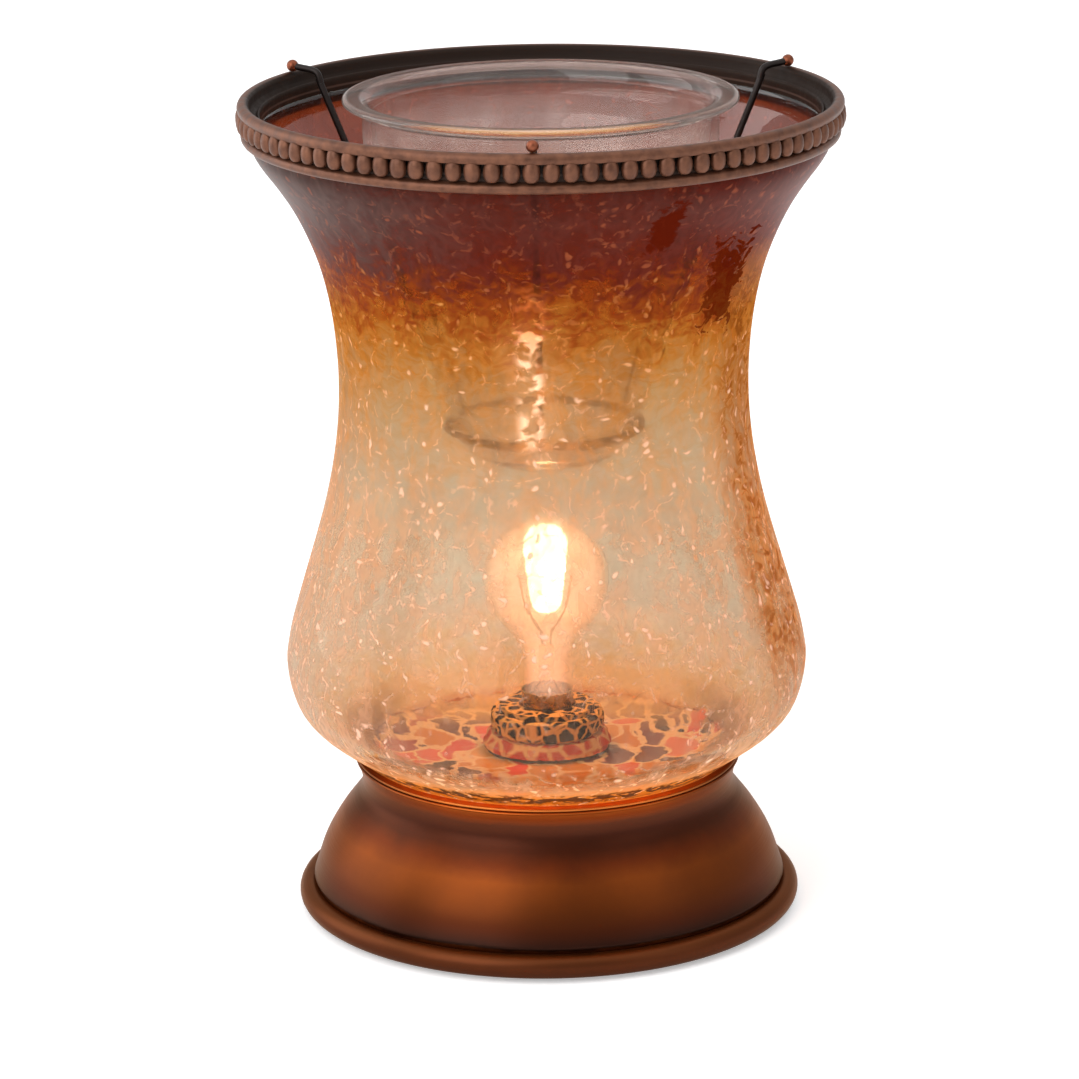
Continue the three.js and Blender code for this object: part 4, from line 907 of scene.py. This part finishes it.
# faces that look to the axis, or up near the foot, are the inside, and the lowest of them the floor
for face in shade.data.polygons:
    inwards = face.normal.xy.dot(face.center.xy) < 0 and face.center.xy.length > INWARDS_BEYOND * MM
    upwards = face.normal.z > 0.5 and face.center.z < UPWARDS_BELOW * MM
    if inwards or upwards:
        face.material_index = 2 if face.center.z < FLOOR_BELOW * MM else 1
stand_in(shade, "base", "crackle_glass", "shade_glass")

# Ring round the mouth
BEADS, BEAD_CIRCLE, BEAD_RADII = 100, 76.25, (1.75, 2.15, 2.6)
RIM_LIP = [
    (74.4, 214.2), (73.6, 213.2), (72.7, 213.0), (72.2, 213.8), (71.7, 213.2), (71.6, 211.5), (71.7, 209.6),
]
lower_roll = arc((75.5, 208.1), 1.3, -80, 80, 8)
upper_roll = arc((76.0, 215.4), 1.6, -40, 170, 12)
channel = [(75.1, 209.8), (75.1, 214.9), (76.0, 215.1)]
rim_outline = [(74.5, 206.8)] + lower_roll + channel + upper_roll + smooth(RIM_LIP, 4) + [(74.5, 209.5)]
stand_in(lathe("rim_ring_body", rim_outline, RIM, 220), "base", "rim_finish", "rim_ring")

bead, bead_faces = ball(BEAD_RADII, 12, 10, 0.6)
vertices, faces = [], []
for i in range(BEADS):
    a = 2 * math.pi * (i + 0.5) / BEADS
    wobble = 1 + random.uniform(-0.03, 0.03)
    turn = Matrix.Rotation(a, 3, "Z")
    centre = Vector((BEAD_CIRCLE * math.cos(a), BEAD_CIRCLE * math.sin(a), BEAD_HEIGHT))
    faces += [[len(vertices) + k for k in face] for face in bead_faces]
    vertices += [tuple(turn @ (Vector(p) * wobble) + centre) for p in bead]
beads = mesh_object("rim_beads", vertices, faces, RIM, 60)
stand_in(beads, "base", "rim_finish", "rim_bead_strip")

# Hanger
WIRE_RADIUS, TIP_RADIUS = 0.9, 1.6
RING_RADIUS, RING_HEIGHT = 25.6, 131.0
ARM_PATH = smooth(
    [(75.2, 218.6), (72.8, 218.3), (69.2, 217.9), (67.4, 217.0), (66.5, 214.6), (65.6, 212.4), (47.0, 174.0),
     (30.4, 137.5), (28.5, 133.4), (27.75, 130.2)],
    8,
)
small_ring = tube("hanger_small_ring", circle(RING_RADIUS, RING_HEIGHT, 96), WIRE_RADIUS, WIRE, closed=True)
stand_in(small_ring, "hanger", "wire", "hanger_ring")
for side, degrees in (("front", -91.6), ("right", 30), ("left", 150)):
    a = math.radians(degrees)
    points = [(r * math.cos(a), r * math.sin(a), z) for r, z in ARM_PATH]
    arm = tube(f"hanger_wire_{side}", points, WIRE_RADIUS, WIRE)
    stand_in(arm, "hanger", "wire", f"hanger_arm_{side}")
    vertices, faces = ball((TIP_RADIUS, TIP_RADIUS, TIP_RADIUS))
    vertices = [tuple(c + middle for c, middle in zip(v, points[0])) for v in vertices]
    tip = mesh_object(f"hanger_tip_{side}", vertices, faces, TIP, 60)
    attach(tip, "hanger")

# Wax dish
DISH_WALL, DISH_BOTTOM = 2.4, 120.0
dish_outside = smooth(
    [(0.0, DISH_BOTTOM), (5.0, 120.05), (9.5, 120.4), (14.0, 121.4), (18.5, 123.6), (21.8, 127.0),
     (24.2, 131.0), (29.0, 147.8), (36.0, 172.4), (42.0, 193.6), (43.6, 198.6), (45.2, 203.0), (45.7, 207.5),
     (45.7, 213.0)],
    5,
)
dish_lip = smooth(
    [(45.9, 214.0), (46.8, 215.1), (48.4, 215.5), (49.8, 215.7), (50.7, 216.1), (50.8, 216.8), (50.2, 217.4),
     (48.8, 217.6), (46.6, 217.4), (44.8, 216.4), (43.9, 215.0), (43.4, 213.0)],
    4,
)
dish_inside = inset(dish_outside, DISH_WALL)
dish_inside[0] = (0.0, DISH_BOTTOM + DISH_WALL)
dish = lathe("wax_dish_glass", dish_outside + dish_lip + dish_inside[::-1], DISH)
stand_in(dish, "dish", "dish_glass", "wax_dish")

# Lamp
GLOBE_RADIUS, GLOBE_MIDDLE, GLOBE_WALL = 16.5, 88.5, 0.8
BULB_TOP = GLOBE_MIDDLE + GLOBE_RADIUS
COIL_TURNS, COIL_STEPS, COIL_RADIUS, COIL_WIRE = 15, 24, 0.45, 0.14
COIL_REACH, COIL_LEAN, COIL_FOOT, COIL_RISE = 5.0, 0.14, 90, 8.5
CORE_MIDDLE = 92.0
bulb_neck = [(6.1, 55.3), (6.1, 61.0), (6.3, 66.0), (7.6, 71.5)]
from_below = [math.radians(a) for a in range(44, 181, 8)]
globe = [(GLOBE_RADIUS * math.sin(a), GLOBE_MIDDLE - GLOBE_RADIUS * math.cos(a)) for a in from_below]
bulb_outside = smooth(bulb_neck + globe + [(0.0, BULB_TOP)], 3)
bulb_inside = inset(bulb_outside, GLOBE_WALL)
bulb_inside[-1] = (0.0, BULB_TOP - GLOBE_WALL)
stand_in(lathe("bulb_globe", bulb_outside[::-1] + bulb_inside, GLOBE, 96), "bulb", "lamp_glass", "bulb_glass")

coil = []
for k in range(COIL_TURNS * COIL_STEPS + 1):
    t = k / (COIL_TURNS * COIL_STEPS)
    s = -1 + 2 * t
    a = 2 * math.pi * COIL_TURNS * t
    arch = COIL_FOOT + COIL_RISE * math.sqrt(max(1 - s * s, 0))
    x, y = COIL_REACH * s + COIL_LEAN * math.cos(a), COIL_RADIUS * math.cos(a)
    coil.append((x, y, arch + COIL_RADIUS * math.sin(a)))
stand_in(tube("bulb_coil", coil, COIL_WIRE, FILAMENT, 6), "bulb", "filament", "bulb_filament")

# the bright core that the lit coil makes, with soft edges
core = smooth(
    [(0.0, 78.0), (2.8, 78.6), (4.3, 81.0), (4.9, 85.0), (5.5, 91.0), (6.1, 96.0), (5.8, 100.4), (3.8, 103.2),
     (0.0, 104.0)],
    5,
)
for n, (grow, strength, cover) in enumerate(((0.92, 10.0, 1.0), (0.96, 2.4, 0.35), (1.0, 1.3, 0.2))):
    points = [(r * grow, CORE_MIDDLE + (z - CORE_MIDDLE) * grow) for r, z in core]
    shell = lathe(f"bulb_light_{n}", points, glow(f"bulb_light_{n}", "FFE9CC", strength, cover), 48)
    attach(shell, "bulb")
    shell.visible_shadow = False

# Finishes of the CAD nodes that stay as they are
dress(COLLAR, "shade_clamp_ring", "socket_body")
dress(CUP, "cup_washer")
dress(FELT, "washer_gasket", "shade_gasket")
dress(BRASS, "socket_shell", "socket_contact", "contact_rivet", "shell_rivet", "bulb_cap")
dress(PHENOLIC, "bulb_insulator", "terminal_block")
dress(NICKEL, "bulb_tip")
dress(LAMP_GLASS, "bulb_stem")
dress(LIT_LEAD, "bulb_lead_left", "bulb_lead_right")
dress(BLACK_WIRE, "feed_lead_live")
dress(WHITE_WIRE, "feed_lead_neutral")
dress(STEEL, "bottom_plate", "terminal_block_screw")
for n in (1, 2, 3):
    dress(STEEL, f"plate_post_{n}", f"plate_screw_{n}")
dress(RUBBER, "cord_inlet_bush", "foot_1", "foot_2", "foot_3", "foot_4")

# Studio
FLOOR_REACH = 3000
floor_mat = material("studio_floor")
paper = use(floor_mat, "noise", place(floor_mat, (1, 1, 1)), 400.0)
near, far_away = 400.0, 1500.0
inputs = {"Base Color": use(floor_mat, "mix", paper, colour("F8F8F8"), colour("FCFCFC")), "Roughness": 0.9}
inputs["Emission Color"] = WHITE
inputs["Emission Strength"] = use(floor_mat, "remap", polar(floor_mat)[0], near, far_away, 0.35, 0.5)
output(floor_mat, node(floor_mat, "BsdfPrincipled", inputs).outputs[0])
corners = [(x * FLOOR_REACH, y * FLOOR_REACH, 0) for x, y in ((-1, -1), (1, -1), (1, 1), (-1, 1))]
floor = mesh_object("studio_floor", corners, [[0, 1, 2, 3]], floor_mat)

# white to the eye and through glass, dimmer as a light and in mirrors
world = bpy.data.worlds.new("studio")
bpy.context.scene.world = world
world.use_nodes = True
world.node_tree.nodes.clear()
path = node(world, "LightPath").outputs
seen = use(world, "highest", path["Is Camera Ray"], path["Is Transmission Ray"])
mirrored = use(world, "times", path["Is Glossy Ray"], 0.3)
strength = use(world, "remap", use(world, "highest", seen, mirrored), 0.0, 1.0, 0.55, 1.0)
background = node(world, "Background", {"Color": WHITE, "Strength": strength})
node(world, "OutputWorld", {"Surface": background.outputs[0]})


def softbox(name, location, target, size, power):
    """A white area light in metres and watts, turned towards its target."""
    light = bpy.data.lights.new(name, "AREA")
    light.shape = "RECTANGLE"
    light.size, light.size_y = size
    light.energy = power
    made = bpy.data.objects.new(name, light)
    made.location = location
    made.rotation_euler = (Vector(target) - Vector(location)).to_track_quat("-Z", "Y").to_euler()
    bpy.context.scene.collection.objects.link(made)
    return made


softbox("key_left", (-0.9, -1.0, 0.9), (0, 0, 0.08), (1.2, 1.4), 14)
softbox("fill_right", (1.2, -0.8, 0.8), (0, 0, 0.08), (0.9, 1.2), 2)
softbox("top", (0, 0.1, 1.6), (0, 0, 0), (2.4, 2.4), 14)
edge = softbox("edge_left", (-1.4, 0.35, 0.55), (0, 0, 0.03), (1.2, 1.4), 12)
edge.visible_diffuse = False
edge.visible_transmission = False

# the light that the lit coil gives, in watts, from the middle of its bright core
COIL_LIGHT_POWER, COIL_LIGHT_SIZE = 0.08, 0.005
bulb_light = bpy.data.objects.new("lamp", bpy.data.lights.new("lamp", "POINT"))
bulb_light.data.energy = COIL_LIGHT_POWER
bulb_light.data.color = colour("FFB488")[:3]
bulb_light.data.shadow_soft_size = COIL_LIGHT_SIZE
bulb_light.location = (0, 0, CORE_MIDDLE * MM)
bpy.context.scene.collection.objects.link(bulb_light)
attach(bulb_light, "bulb")
